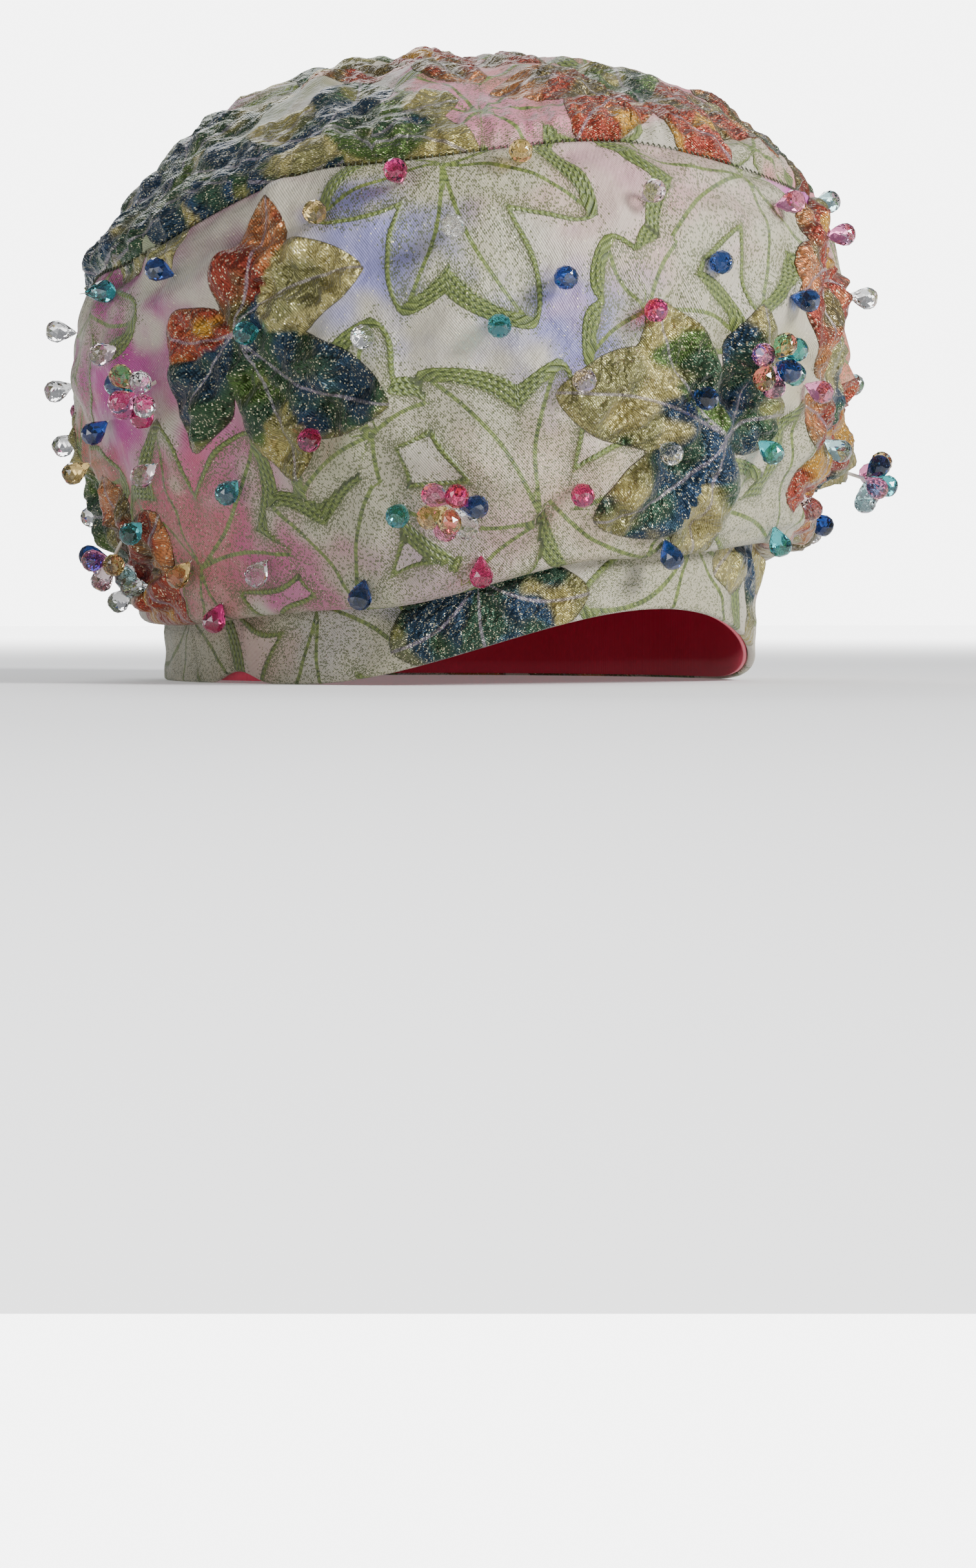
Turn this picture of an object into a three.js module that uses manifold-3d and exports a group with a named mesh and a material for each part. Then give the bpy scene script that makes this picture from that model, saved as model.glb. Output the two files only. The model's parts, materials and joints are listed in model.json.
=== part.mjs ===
// A brocade turban hat sewn with glass drops, resting on its rim.
// Millimetres, +Z up. The wearer faces -Y and the wearer's left is +X.
// An azimuth is in degrees: 0 at the brow, positive towards the wearer's left, 180 at the nape.
import * as THREE from 'three';
import Module from 'manifold-3d';
import { mergeVertices } from 'three/addons/utils/BufferGeometryUtils.js';

const wasm = await Module();
wasm.setup();

// Head opening and height
const rimHalfWidth = 80;
const rimHalfLength = 100;
const hatHeight = 173;

// The rim lifts off the ears' level over the brow
const browLift = 20;
const browAzimuth = 12;
const browHalfAngle = 72;

// Walls and the clearance between sewn pieces
const drapeWall = 3;
const crownWall = 2.6;
const bandWall = 2.2;
const liningWall = 1;
const clearance = 0.3;

// How far the head band reaches up behind the drape, and how round its hem is
const bandTuck = 14;
const bandHem = 0.5;

// The drape's bottom fold stands this far out from the band, and rolls under over this height
const foldStandOff = 5;
const foldRoll = 3.4;

// The seam between drape and crown lies in a groove, and the crown swells beside it
const seamGroove = 1.4;
const seamSwell = 2.2;
const seamReach = 9;

// Puckers of the padded crown run in from the seam, twist a little and fade out at the top
const puckerCount = 13;
const puckerDepth = 1.5;
const puckerTwist = 290;
const puckerSpread = 1.6;

// The lining's edge shows below the band's where the band is nicked up, beside the wearer's right
// ear. Its side is upright to a share of the widest height, and rounds over above that.
const liningEdge = 0.7;
const liningShoulder = 0.8;
const liningRound = 0.9;
const nickAzimuth = -74;
const nickHalfAngle = 9;
const nickRise = 3.2;

// Glass drop: a faceted briolette hung from its tip, with a flat table at its round end
const dropLength = 8.4;
const dropDiameter = 6.3;
const dropSides = 10;

// Cluster of drops on one stalk of threads
const hubRadius = 2.3;
const hubSeat = 1.3;
const hubClearance = 1.3;
const stalkFoot = 2;
const stalkHead = 3.6;
const stalkSides = 6;
const ringCount = 6;
const ringTilt = 60;
const ringStagger = 12;

// Steps of the meshes
const roundSteps = 52;
const drapeSteps = 16;
const crownSteps = 9;
const innerSteps = 5;
const liningSteps = 5;

// The form at eight azimuths. The heights seam, widest and fold are shares of the hat's height, and
// bulge, how far the widest line stands out from the rim, is a share of the rim's half width.
// Lower and dome are the roundness of the walls below and above the widest line.
const formTable = [
  { azimuth: -180, seam: 0.42, widest: 0.35, fold: 0.105, bulge: 0.225, lower: 1.9, dome: 2.1 },
  { azimuth: -135, seam: 0.51, widest: 0.39, fold: 0.1, bulge: 0.24, lower: 1.4, dome: 2.1 },
  { azimuth: -90, seam: 0.65, widest: 0.485, fold: 0.09, bulge: 0.36, lower: 1.25, dome: 2.15 },
  { azimuth: -45, seam: 0.78, widest: 0.54, fold: 0.115, bulge: 0.31, lower: 1.6, dome: 2.25 },
  { azimuth: 0, seam: 0.82, widest: 0.555, fold: 0.19, bulge: 0.25, lower: 2, dome: 2.3 },
  { azimuth: 45, seam: 0.775, widest: 0.545, fold: 0.22, bulge: 0.3, lower: 2.3, dome: 2.35 },
  { azimuth: 90, seam: 0.625, widest: 0.5, fold: 0.18, bulge: 0.335, lower: 2.6, dome: 2.3 },
  { azimuth: 135, seam: 0.485, widest: 0.39, fold: 0.11, bulge: 0.275, lower: 2, dome: 2.2 },
  { azimuth: 180, seam: 0.42, widest: 0.35, fold: 0.105, bulge: 0.225, lower: 1.9, dome: 2.1 },
];

// Soft folds of the drape. Rise is a share of the hat's height, and slope is how much of that height
// the fold climbs in 90 degrees. Along is half its length in degrees, across half its width as a
// share of the height. Depth is a share of the drape's wall, negative for a valley.
const foldTable = [
  { azimuth: 64, rise: 0.25, slope: 0.02, along: 34, across: 0.035, depth: 1 },
  { azimuth: 64, rise: 0.31, slope: 0.06, along: 30, across: 0.03, depth: -0.9 },
  { azimuth: 68, rise: 0.375, slope: 0.12, along: 28, across: 0.04, depth: 0.9 },
  { azimuth: 28, rise: 0.27, slope: -0.05, along: 40, across: 0.04, depth: 0.5 },
  { azimuth: -98, rise: 0.19, slope: -0.04, along: 26, across: 0.035, depth: -1 },
  { azimuth: -94, rise: 0.13, slope: -0.02, along: 28, across: 0.03, depth: 0.7 },
  { azimuth: -62, rise: 0.61, slope: 0.35, along: 24, across: 0.04, depth: 0.8 },
  { azimuth: -66, rise: 0.52, slope: 0.4, along: 22, across: 0.035, depth: -0.7 },
  { azimuth: 80, rise: 0.54, slope: -0.5, along: 16, across: 0.04, depth: 0.7 },
  { azimuth: 125, rise: 0.3, slope: -0.35, along: 34, across: 0.045, depth: 0.9 },
  { azimuth: -150, rise: 0.24, slope: 0.3, along: 30, across: 0.045, depth: 0.9 },
  { azimuth: 175, rise: 0.2, slope: 0, along: 26, across: 0.04, depth: -0.8 },
];

// The lip where the drape rolls under at its bottom fold. Out is a share of the way from the band to
// the fold's outer face, and up is a share of the roll's height.
const lipTable = [
  { out: 0.8, up: 0.12 },
  { out: 0.45, up: 0 },
  { out: 0.12, up: 0.25 },
  { out: 0, up: 0.8 },
  { out: 0.1, up: 1.5 },
];

const glass = {
  clear: 0xe6ebea,
  blush: 0xf0ccd2,
  pink: 0xee7fb0,
  magenta: 0xc8366f,
  amber: 0xcfb069,
  teal: 0x3f8f98,
  aqua: 0xa9d3d3,
  navy: 0x1d3768,
};

// Single drops. Rise is a share of the hat's height, and lean is how far a drop hangs down from
// standing straight out of the cloth, in degrees.
const dropTable = [
  { azimuth: -37, rise: 0.74, lean: 12, colour: 'magenta' },
  { azimuth: -29, rise: 0.67, lean: 14, colour: 'clear' },
  { azimuth: -19, rise: 0.77, lean: 16, colour: 'amber' },
  { azimuth: -48, rise: 0.69, lean: 18, colour: 'amber' },
  { azimuth: -71, rise: 0.62, lean: 10, colour: 'navy' },
  { azimuth: -85, rise: 0.61, lean: 20, colour: 'teal' },
  { azimuth: -102, rise: 0.56, lean: 4, colour: 'clear' },
  { azimuth: -106, rise: 0.48, lean: 24, colour: 'clear' },
  { azimuth: -108, rise: 0.4, lean: 20, colour: 'clear' },
  { azimuth: -82, rise: 0.52, lean: 18, colour: 'blush' },
  { azimuth: -57, rise: 0.53, lean: 14, colour: 'teal' },
  { azimuth: -41, rise: 0.52, lean: 12, colour: 'clear' },
  { azimuth: -49, rise: 0.38, lean: 16, colour: 'magenta' },
  { azimuth: -63, rise: 0.31, lean: 22, colour: 'teal' },
  { azimuth: -78, rise: 0.34, lean: 20, colour: 'blush' },
  { azimuth: -88, rise: 0.41, lean: 24, colour: 'navy' },
  { azimuth: -78, rise: 0.19, lean: 24, colour: 'amber' },
  { azimuth: -61, rise: 0.19, lean: 26, colour: 'clear' },
  { azimuth: -72, rise: 0.125, lean: 46, colour: 'magenta' },
  { azimuth: -44, rise: 0.16, lean: 40, colour: 'navy' },
  { azimuth: -37, rise: 0.27, lean: 14, colour: 'teal' },
  { azimuth: -25, rise: 0.195, lean: 48, colour: 'magenta' },
  { azimuth: -10, rise: 0.3, lean: 16, colour: 'magenta' },
  { azimuth: 8, rise: 0.22, lean: 40, colour: 'navy' },
  { azimuth: 4, rise: 0.36, lean: 14, colour: 'clear' },
  { azimuth: -11, rise: 0.46, lean: 14, colour: 'blush' },
  { azimuth: -23, rise: 0.54, lean: 26, colour: 'teal' },
  { azimuth: -14, rise: 0.6, lean: 14, colour: 'navy' },
  { azimuth: 0, rise: 0.56, lean: 14, colour: 'magenta' },
  { azimuth: 13, rise: 0.63, lean: 12, colour: 'navy' },
  { azimuth: 1, rise: 0.72, lean: 12, colour: 'blush' },
  { azimuth: 30, rise: 0.73, lean: 14, colour: 'pink' },
  { azimuth: 48, rise: 0.7, lean: 16, colour: 'pink' },
  { azimuth: 29, rise: 0.59, lean: 18, colour: 'navy' },
  { azimuth: 34, rise: 0.46, lean: 16, colour: 'pink' },
  { azimuth: 24, rise: 0.37, lean: 20, colour: 'teal' },
  { azimuth: 46, rise: 0.38, lean: 24, colour: 'aqua' },
  { azimuth: 9, rise: 0.44, lean: 14, colour: 'navy' },
  { azimuth: 37, rise: 0.245, lean: 44, colour: 'teal' },
  { azimuth: 70, rise: 0.27, lean: 36, colour: 'navy' },
];

// Clusters of seven drops. Stalk is a share of a drop's length, turn is of the ring, in degrees.
const clusterTable = [
  { azimuth: -29, rise: 0.29, stalk: 0.4, lean: 22, turn: 10, colour: 'magenta' },
  { azimuth: -75, rise: 0.46, stalk: 0.35, lean: 26, turn: 30, colour: 'pink' },
  { azimuth: -98, rise: 0.23, stalk: 0.4, lean: 30, turn: 0, colour: 'blush' },
  { azimuth: 21, rise: 0.5, stalk: 0.35, lean: 20, turn: 40, colour: 'navy' },
  { azimuth: 66, rise: 0.35, stalk: 0.9, lean: -16, turn: 20, colour: 'pink' },
  { azimuth: 138, rise: 0.34, stalk: 0.4, lean: 24, turn: 15, colour: 'amber' },
  { azimuth: -150, rise: 0.33, stalk: 0.4, lean: 26, turn: 50, colour: 'teal' },
];

const radians = THREE.MathUtils.degToRad;

function wrapped(azimuth) {
  return THREE.MathUtils.euclideanModulo(azimuth + 180, 360) - 180;
}

// A column of the form table, blended smoothly between its rows
function formAt(azimuth, column) {
  const turned = wrapped(azimuth);
  const next = formTable.findIndex((row, i) => i > 0 && turned <= row.azimuth);
  const low = formTable[next - 1];
  const high = formTable[next];
  const share = THREE.MathUtils.smoothstep(turned, low.azimuth, high.azimuth);
  return THREE.MathUtils.lerp(low[column], high[column], share);
}

// 1 at the centre of a stretch, falling smoothly to 0 at its ends
function hump(azimuth, centre, halfAngle) {
  const away = Math.min(Math.abs(wrapped(azimuth - centre)) / halfAngle, 1);
  return Math.cos(away * Math.PI / 2) ** 2;
}

function browHeight(azimuth) {
  return browLift * hump(azimuth, browAzimuth, browHalfAngle);
}

function bandEdge(azimuth) {
  return browHeight(azimuth) + nickRise * hump(azimuth, nickAzimuth, nickHalfAngle);
}

function foldHeight(azimuth) {
  return hatHeight * formAt(azimuth, 'fold');
}

// Where a point on the round of the head lies, out from the rim's outer face by a distance
function roundHead(azimuth, out, height, inset = 1) {
  const angle = radians(azimuth);
  const x = (rimHalfWidth + out) * inset * Math.sin(angle);
  const y = -(rimHalfLength + out) * inset * Math.cos(angle);
  return new THREE.Vector3(x, y, height);
}

function foldOut(azimuth, height) {
  let out = 0;
  for (const fold of foldTable) {
    const along = wrapped(azimuth - fold.azimuth) / fold.along;
    const centre = fold.rise + fold.slope * wrapped(azimuth - fold.azimuth) / 90;
    const across = (height / hatHeight - centre) / fold.across;
    out += fold.depth * drapeWall * Math.exp(-along * along - across * across);
  }
  return out;
}

// The outer form. Level runs from -1 at the bottom fold, through 0 at the widest line, to 1 at the
// top of the dome. Inward is the distance in from the outer face, and extra is relief on it.
function formPoint(azimuth, level, inward, extra = 0) {
  const widest = hatHeight * formAt(azimuth, 'widest');
  const bulge = rimHalfWidth * formAt(azimuth, 'bulge');
  if (level <= 0) {
    const climb = 1 + level;
    const swell = 1 - (1 - climb) ** formAt(azimuth, 'lower');
    const out = foldStandOff + (bulge - foldStandOff) * swell;
    const height = THREE.MathUtils.lerp(foldHeight(azimuth), widest, climb);
    return roundHead(azimuth, out - inward + extra, height);
  }
  const angle = radians(90 * level);
  const power = 2 / formAt(azimuth, 'dome');
  const height = widest + (hatHeight - inward + extra - widest) * Math.sin(angle) ** power;
  const inset = Math.max(Math.cos(angle), 0) ** power;
  return roundHead(azimuth, bulge - inward + extra, height, inset);
}

// The level of the dome at a height
function levelAt(azimuth, height) {
  const widest = hatHeight * formAt(azimuth, 'widest');
  const share = THREE.MathUtils.clamp((height - widest) / (hatHeight - widest), 0, 1);
  return Math.asin(share ** (formAt(azimuth, 'dome') / 2)) / (Math.PI / 2);
}

function seamHeight(azimuth) {
  return hatHeight * formAt(azimuth, 'seam');
}

// How near a height is to the seam: 1 on it, falling to 0 away from it
function nearSeam(azimuth, height, reach) {
  const away = (height - seamHeight(azimuth)) / reach;
  return Math.exp(-away * away);
}

// Relief of the drape: its folds, and the dip into the seam's groove
function drapeRelief(azimuth, level) {
  const height = formPoint(azimuth, level, 0).z;
  return foldOut(azimuth, height) - seamGroove * nearSeam(azimuth, height, seamReach / 2);
}

// Relief of the crown: a swell above the groove, and puckers that fade out at the top
function crownRelief(azimuth, level) {
  const height = formPoint(azimuth, level, 0).z;
  const beside = nearSeam(azimuth, height, seamReach);
  const groove = nearSeam(azimuth, height, seamReach / 3);
  const ripple = Math.sin(radians(puckerCount * azimuth + puckerTwist * level));
  const spread = Math.sin(Math.PI * Math.min(1, (1 - level) * puckerSpread)) * (1 - beside);
  return seamSwell * (beside - groove) - seamGroove * groove + puckerDepth * ripple * spread;
}

// A closed wall round the head: a lathe whose rings of points are moved to the hat's form.
// Stations run down the outer face and up the inner one, the other way from the lathe's rings.
function wallRoundHead(pointAt, count) {
  const profile = Array.from({ length: count }, (_, k) => new THREE.Vector2(1, k));
  const geometry = new THREE.LatheGeometry(profile, roundSteps);
  const position = geometry.attributes.position;
  const uv = geometry.attributes.uv;
  for (let i = 0; i < position.count; i += 1) {
    const azimuth = 360 * uv.getX(i) - 180;
    const station = Math.round((1 - uv.getY(i)) * (count - 1));
    const point = pointAt(azimuth, station);
    position.setXYZ(i, point.x, point.y, point.z);
  }
  return geometry;
}

function drapePoint(azimuth, station) {
  const top = levelAt(azimuth, seamHeight(azimuth) - clearance);
  const rollLevels = foldRoll / (hatHeight * formAt(azimuth, 'widest') - foldHeight(azimuth));
  const bottom = rollLevels - 1;
  if (station <= drapeSteps) {
    const level = THREE.MathUtils.lerp(top, bottom, station / drapeSteps);
    return formPoint(azimuth, level, 0, drapeRelief(azimuth, level));
  }
  const lip = lipTable[station - drapeSteps - 1];
  if (lip) {
    const out = THREE.MathUtils.lerp(clearance, foldStandOff + 1, lip.out);
    return roundHead(azimuth, out, foldHeight(azimuth) + foldRoll * lip.up);
  }
  const climbed = (station - drapeSteps - lipTable.length) / innerSteps;
  if (climbed > 1) {
    return drapePoint(azimuth, 0);
  }
  const level = THREE.MathUtils.lerp(bottom + rollLevels, top, climbed);
  return formPoint(azimuth, level, drapeWall, drapeRelief(azimuth, level));
}

function crownPoint(azimuth, station) {
  const bottom = levelAt(azimuth, seamHeight(azimuth) + clearance);
  if (station <= crownSteps) {
    const level = THREE.MathUtils.lerp(1, bottom, station / crownSteps);
    return formPoint(azimuth, level, 0, crownRelief(azimuth, level));
  }
  const level = THREE.MathUtils.lerp(bottom, 1, (station - crownSteps - 1) / innerSteps);
  return formPoint(azimuth, level, crownWall, crownRelief(azimuth, level));
}

function bandPoint(azimuth, station) {
  const low = bandEdge(azimuth);
  const high = foldHeight(azimuth) + bandTuck;
  return [
    roundHead(azimuth, 0, high),
    roundHead(azimuth, 0, low + bandHem),
    roundHead(azimuth, -bandHem, low),
    roundHead(azimuth, bandHem - bandWall, low),
    roundHead(azimuth, -bandWall, low + bandHem),
    roundHead(azimuth, -bandWall, high),
    roundHead(azimuth, 0, high),
  ][station];
}

// The lining rises inside the band and closes over the head under the crown
function liningFace(azimuth, station, inward) {
  const out = -bandWall - clearance - inward;
  const low = browHeight(azimuth) + liningEdge;
  const shoulder = hatHeight * formAt(azimuth, 'widest') * liningShoulder;
  if (station === 0) {
    return roundHead(azimuth, out, low);
  }
  const angle = radians(90 * (station - 1) / (liningSteps - 1));
  const top = hatHeight - crownWall - seamSwell - liningEdge - inward;
  const height = shoulder + (top - shoulder) * Math.sin(angle) ** liningRound;
  return roundHead(azimuth, out, height, Math.max(Math.cos(angle), 0) ** liningRound);
}

function liningPoint(azimuth, station) {
  if (station <= liningSteps) {
    return liningFace(azimuth, liningSteps - station, 0);
  }
  return liningFace(azimuth, station - liningSteps - 1, liningWall);
}

// Sections of a glass drop, as shares of its length and of its radius
const dropSections = [
  { along: 0.38, round: 0.72 },
  { along: 0.65, round: 1 },
  { along: 1, round: 0.5 },
];

// Glass drop along +Z, from its tip at the origin
function dropGeometry(sections = dropSections) {
  const rings = sections.map((section) => (
    new THREE.Vector2(section.round * dropDiameter / 2, section.along * dropLength)
  ));
  const profile = [new THREE.Vector2(0, 0), ...rings, new THREE.Vector2(0, dropLength)];
  const geometry = new THREE.LatheGeometry(profile, dropSides);
  return geometry.rotateX(Math.PI / 2);
}

const hat = new THREE.Group();

function addMesh(geometry, name, color, roughness, metalness = 0) {
  const material = new THREE.MeshStandardMaterial({ color, roughness, metalness });
  const mesh = new THREE.Mesh(geometry, material);
  mesh.name = name;
  hat.add(mesh);
  return mesh;
}

const drapeStations = drapeSteps + lipTable.length + innerSteps + 2;
const crownStations = crownSteps + innerSteps + 2;
const drape = addMesh(wallRoundHead(drapePoint, drapeStations), 'side_drape', 0xb9b08f, 0.55, 0.2);
const crown = addMesh(wallRoundHead(crownPoint, crownStations), 'crown_top', 0xb7a184, 0.55, 0.2);
addMesh(wallRoundHead(bandPoint, 7), 'head_band', 0xa89f77, 0.55, 0.2);
addMesh(wallRoundHead(liningPoint, 2 * liningSteps + 2), 'lining', 0xc4243f, 0.4);

drape.material.side = THREE.DoubleSide;
crown.material.side = THREE.DoubleSide;

// The outermost cloth between a place and the hat's axis, level with it, and the way it faces
function clothBeside(place) {
  const axis = new THREE.Vector3(0, 0, place.z);
  const inward = axis.clone().sub(place).normalize();
  const outside = axis.clone().addScaledVector(inward, -2 * rimHalfLength);
  const ray = new THREE.Raycaster(outside, inward);
  const hit = ray.intersectObjects([drape, crown])[0];
  if (!hit) {
    return null;
  }
  const facing = hit.face.normal.clone();
  if (facing.dot(inward) > 0) {
    facing.negate();
  }
  return { point: hit.point, facing };
}

// The direction a drop takes when it leans down from the cloth's facing
function leant(facing, lean) {
  const down = new THREE.Vector3(0, 0, -1);
  const sideways = new THREE.Vector3().crossVectors(facing, down).normalize();
  return facing.clone().applyAxisAngle(sideways, radians(lean));
}

// Whether the underside of a leaning drop is clear of the cloth
function hangsClear(tip, facing, lean) {
  const along = leant(facing, lean);
  const under = leant(facing, lean + 90);
  return dropSections.every((section) => {
    const place = tip.clone()
      .addScaledVector(along, section.along * dropLength)
      .addScaledVector(under, section.round * dropDiameter / 2 + clearance);
    const cloth = clothBeside(place);
    return !cloth || Math.hypot(cloth.point.x, cloth.point.y) < Math.hypot(place.x, place.y);
  });
}

// How far a drop leans: as far as its row says, unless it comes to lie on a fold before that
function restingLean(tip, facing, lean) {
  const step = 3;
  let rest = lean;
  while (rest > step && !hangsClear(tip, facing, rest)) {
    rest -= step;
  }
  return rest;
}

const upright = new THREE.Vector3(0, 0, 1);

function numbered(word, i) {
  return `${word}_${String(i + 1).padStart(2, '0')}`;
}

dropTable.forEach((row, i) => {
  const sewn = clothBeside(roundHead(row.azimuth, 0, row.rise * hatHeight));
  const tip = sewn.point.clone().addScaledVector(sewn.facing, clearance);
  const axis = leant(sewn.facing, restingLean(tip, sewn.facing, row.lean));
  const drop = addMesh(dropGeometry(), numbered('drop', i), glass[row.colour], 0.1);
  drop.quaternion.setFromUnitVectors(upright, axis);
  drop.position.copy(tip);
});

function solidOf(geometry) {
  const plain = geometry.clone();
  plain.deleteAttribute('normal');
  plain.deleteAttribute('uv');
  const merged = mergeVertices(plain, 1e-4);
  return new wasm.Manifold(new wasm.Mesh({
    numProp: 3,
    vertProperties: merged.attributes.position.array,
    triVerts: new Uint32Array(merged.index.array),
  }));
}

function geometryOf(solid) {
  const mesh = solid.getMesh();
  const geometry = new THREE.BufferGeometry();
  geometry.setAttribute('position', new THREE.BufferAttribute(mesh.vertProperties, 3));
  geometry.setIndex(new THREE.BufferAttribute(mesh.triVerts, 1));
  return geometry;
}

// One drop of a cluster, tilted out from the stalk. Only its belly and table show.
function clusterDrop(stalk, tilt, turn) {
  return dropGeometry(dropSections.slice(1))
    .translate(0, 0, hubSeat)
    .rotateX(radians(tilt))
    .rotateZ(radians(turn))
    .translate(0, 0, stalk);
}

// A stalk of threads with a knot at its end and seven drops round the knot, along +Z
function clusterSolid(stalk, turn) {
  const threads = new THREE.CylinderGeometry(stalkHead / 2, stalkFoot / 2, stalk, stalkSides);
  threads.rotateX(Math.PI / 2).translate(0, 0, stalk / 2);
  const knot = new THREE.IcosahedronGeometry(hubRadius).translate(0, 0, stalk);
  let solid = solidOf(threads).add(solidOf(knot)).add(solidOf(clusterDrop(stalk, 0, 0)));
  for (let k = 0; k < ringCount; k += 1) {
    const tilt = k % 2 === 0 ? ringTilt : ringTilt + ringStagger;
    const drop = clusterDrop(stalk, tilt, turn + 360 * k / ringCount);
    solid = solid.add(solidOf(drop));
  }
  return solid;
}

clusterTable.forEach((row, i) => {
  const sewn = clothBeside(roundHead(row.azimuth, 0, row.rise * hatHeight));
  const solid = clusterSolid(row.stalk * dropLength + hubRadius, row.turn);
  const name = numbered('cluster', i);
  const cluster = addMesh(geometryOf(solid), name, glass[row.colour], 0.1);
  cluster.quaternion.setFromUnitVectors(upright, leant(sewn.facing, row.lean));
  cluster.position.copy(sewn.point).addScaledVector(sewn.facing, hubClearance);
});

// The origin is at the middle of the hat's foot
const extent = new THREE.Box3().setFromObject(hat);
const middle = extent.getCenter(new THREE.Vector3());
hat.position.set(-middle.x, -middle.y, -extent.min.z);

export default hat;
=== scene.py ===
"""The looks of a brocade turban hat sewn with glass drops, built round its CAD frame."""
import json
import math

import bmesh
import bpy
import numpy as np
from mathutils import Matrix, Vector, noise
from mathutils.bvhtree import BVHTree


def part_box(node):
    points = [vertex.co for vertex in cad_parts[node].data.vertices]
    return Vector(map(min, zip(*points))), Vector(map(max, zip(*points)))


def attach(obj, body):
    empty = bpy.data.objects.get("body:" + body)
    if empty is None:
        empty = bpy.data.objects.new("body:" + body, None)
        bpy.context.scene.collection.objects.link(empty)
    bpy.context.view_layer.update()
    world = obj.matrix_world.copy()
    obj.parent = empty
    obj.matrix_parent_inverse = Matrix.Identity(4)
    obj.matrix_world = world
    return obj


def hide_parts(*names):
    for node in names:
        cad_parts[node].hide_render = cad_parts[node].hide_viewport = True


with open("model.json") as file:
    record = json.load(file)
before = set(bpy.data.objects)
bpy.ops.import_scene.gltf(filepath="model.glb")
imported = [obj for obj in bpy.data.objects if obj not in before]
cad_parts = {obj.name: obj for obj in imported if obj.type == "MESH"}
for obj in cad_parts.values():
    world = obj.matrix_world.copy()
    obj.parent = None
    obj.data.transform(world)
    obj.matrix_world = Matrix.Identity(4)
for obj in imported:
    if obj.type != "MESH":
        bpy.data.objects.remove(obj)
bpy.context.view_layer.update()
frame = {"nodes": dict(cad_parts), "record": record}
MM = 0.001


# Side drape
# A tall panel of satin brocade, stiffened and set round the sides of the hat. It is gathered
# to the crown along a sloping seam, and its bottom edge is rolled under against the head band.
rim_low, rim_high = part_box("head_band")
CENTRE = np.array([(rim_low.x + rim_high.x) / 2, (rim_low.y + rim_high.y) / 2, 0])
RIM_HALF_WIDTH = (rim_high.x - rim_low.x) / 2 / MM
RIM_HALF_LENGTH = (rim_high.y - rim_low.y) / 2 / MM
HAT_HEIGHT = 173
CLEARANCE = 0.3
DRAPE_WALL = 3
FOLD_STAND_OFF = 5
FOLD_ROLL = 3.4
SEAM_GROOVE = 1.4
SEAM_SWELL = 2.2
SEAM_REACH = 9

# The form at nine azimuths, as shares of the hat's height and, for bulge, of the rim's half width.
# Lower and dome are the roundness of the walls below and above the widest line.
FORM = {
    "azimuth": [-180, -135, -90, -45, 0, 45, 90, 135, 180],
    "seam": [0.42, 0.51, 0.65, 0.78, 0.82, 0.775, 0.625, 0.485, 0.42],
    "widest": [0.35, 0.39, 0.485, 0.54, 0.555, 0.545, 0.5, 0.39, 0.35],
    "fold": [0.105, 0.1, 0.09, 0.115, 0.19, 0.22, 0.18, 0.11, 0.105],
    "bulge": [0.225, 0.24, 0.36, 0.31, 0.25, 0.3, 0.335, 0.275, 0.225],
    "lower": [1.9, 1.4, 1.25, 1.6, 2, 2.3, 2.6, 2, 1.9],
    "dome": [2.1, 2.1, 2.15, 2.25, 2.3, 2.35, 2.3, 2.2, 2.1],
}

# Soft folds: azimuth, rise, slope, half length, half width and depth in walls
FOLDS = [
    (64, 0.25, 0.02, 34, 0.035, 1),
    (64, 0.31, 0.06, 30, 0.03, -0.9),
    (68, 0.375, 0.12, 28, 0.04, 0.9),
    (28, 0.27, -0.05, 40, 0.04, 0.5),
    (-98, 0.19, -0.04, 26, 0.035, -1),
    (-94, 0.13, -0.02, 28, 0.03, 0.7),
    (-62, 0.61, 0.35, 24, 0.04, 0.8),
    (-66, 0.52, 0.4, 22, 0.035, -0.7),
    (80, 0.54, -0.5, 16, 0.04, 0.7),
    (125, 0.3, -0.35, 34, 0.045, 0.9),
    (-150, 0.24, 0.3, 30, 0.045, 0.9),
    (175, 0.2, 0, 26, 0.04, -0.8),
]


def wrapped(azimuth):
    return (np.asarray(azimuth, float) + 180) % 360 - 180


def eased(share):
    """A share from 0 to 1, slowed down at both ends."""
    return share * share * (3 - 2 * share)


def form_at(azimuth, column):
    """A column of the form table, blended smoothly between its rows."""
    turned = wrapped(azimuth)
    rows = np.array(FORM["azimuth"], float)
    values = np.array(FORM[column], float)
    low = np.clip(np.searchsorted(rows, turned, side="right") - 1, 0, len(rows) - 2)
    share = eased((turned - rows[low]) / (rows[low + 1] - rows[low]))
    return values[low] * (1 - share) + values[low + 1] * share


def round_rim(azimuth, out, height, inset=1.0):
    """Points round the hat at a height, out from the rim's outer face by a distance."""
    angle = np.radians(azimuth)
    x = (RIM_HALF_WIDTH + out) * inset * np.sin(angle)
    y = -(RIM_HALF_LENGTH + out) * inset * np.cos(angle)
    return np.stack(np.broadcast_arrays(x, y, height), axis=-1)


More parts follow.
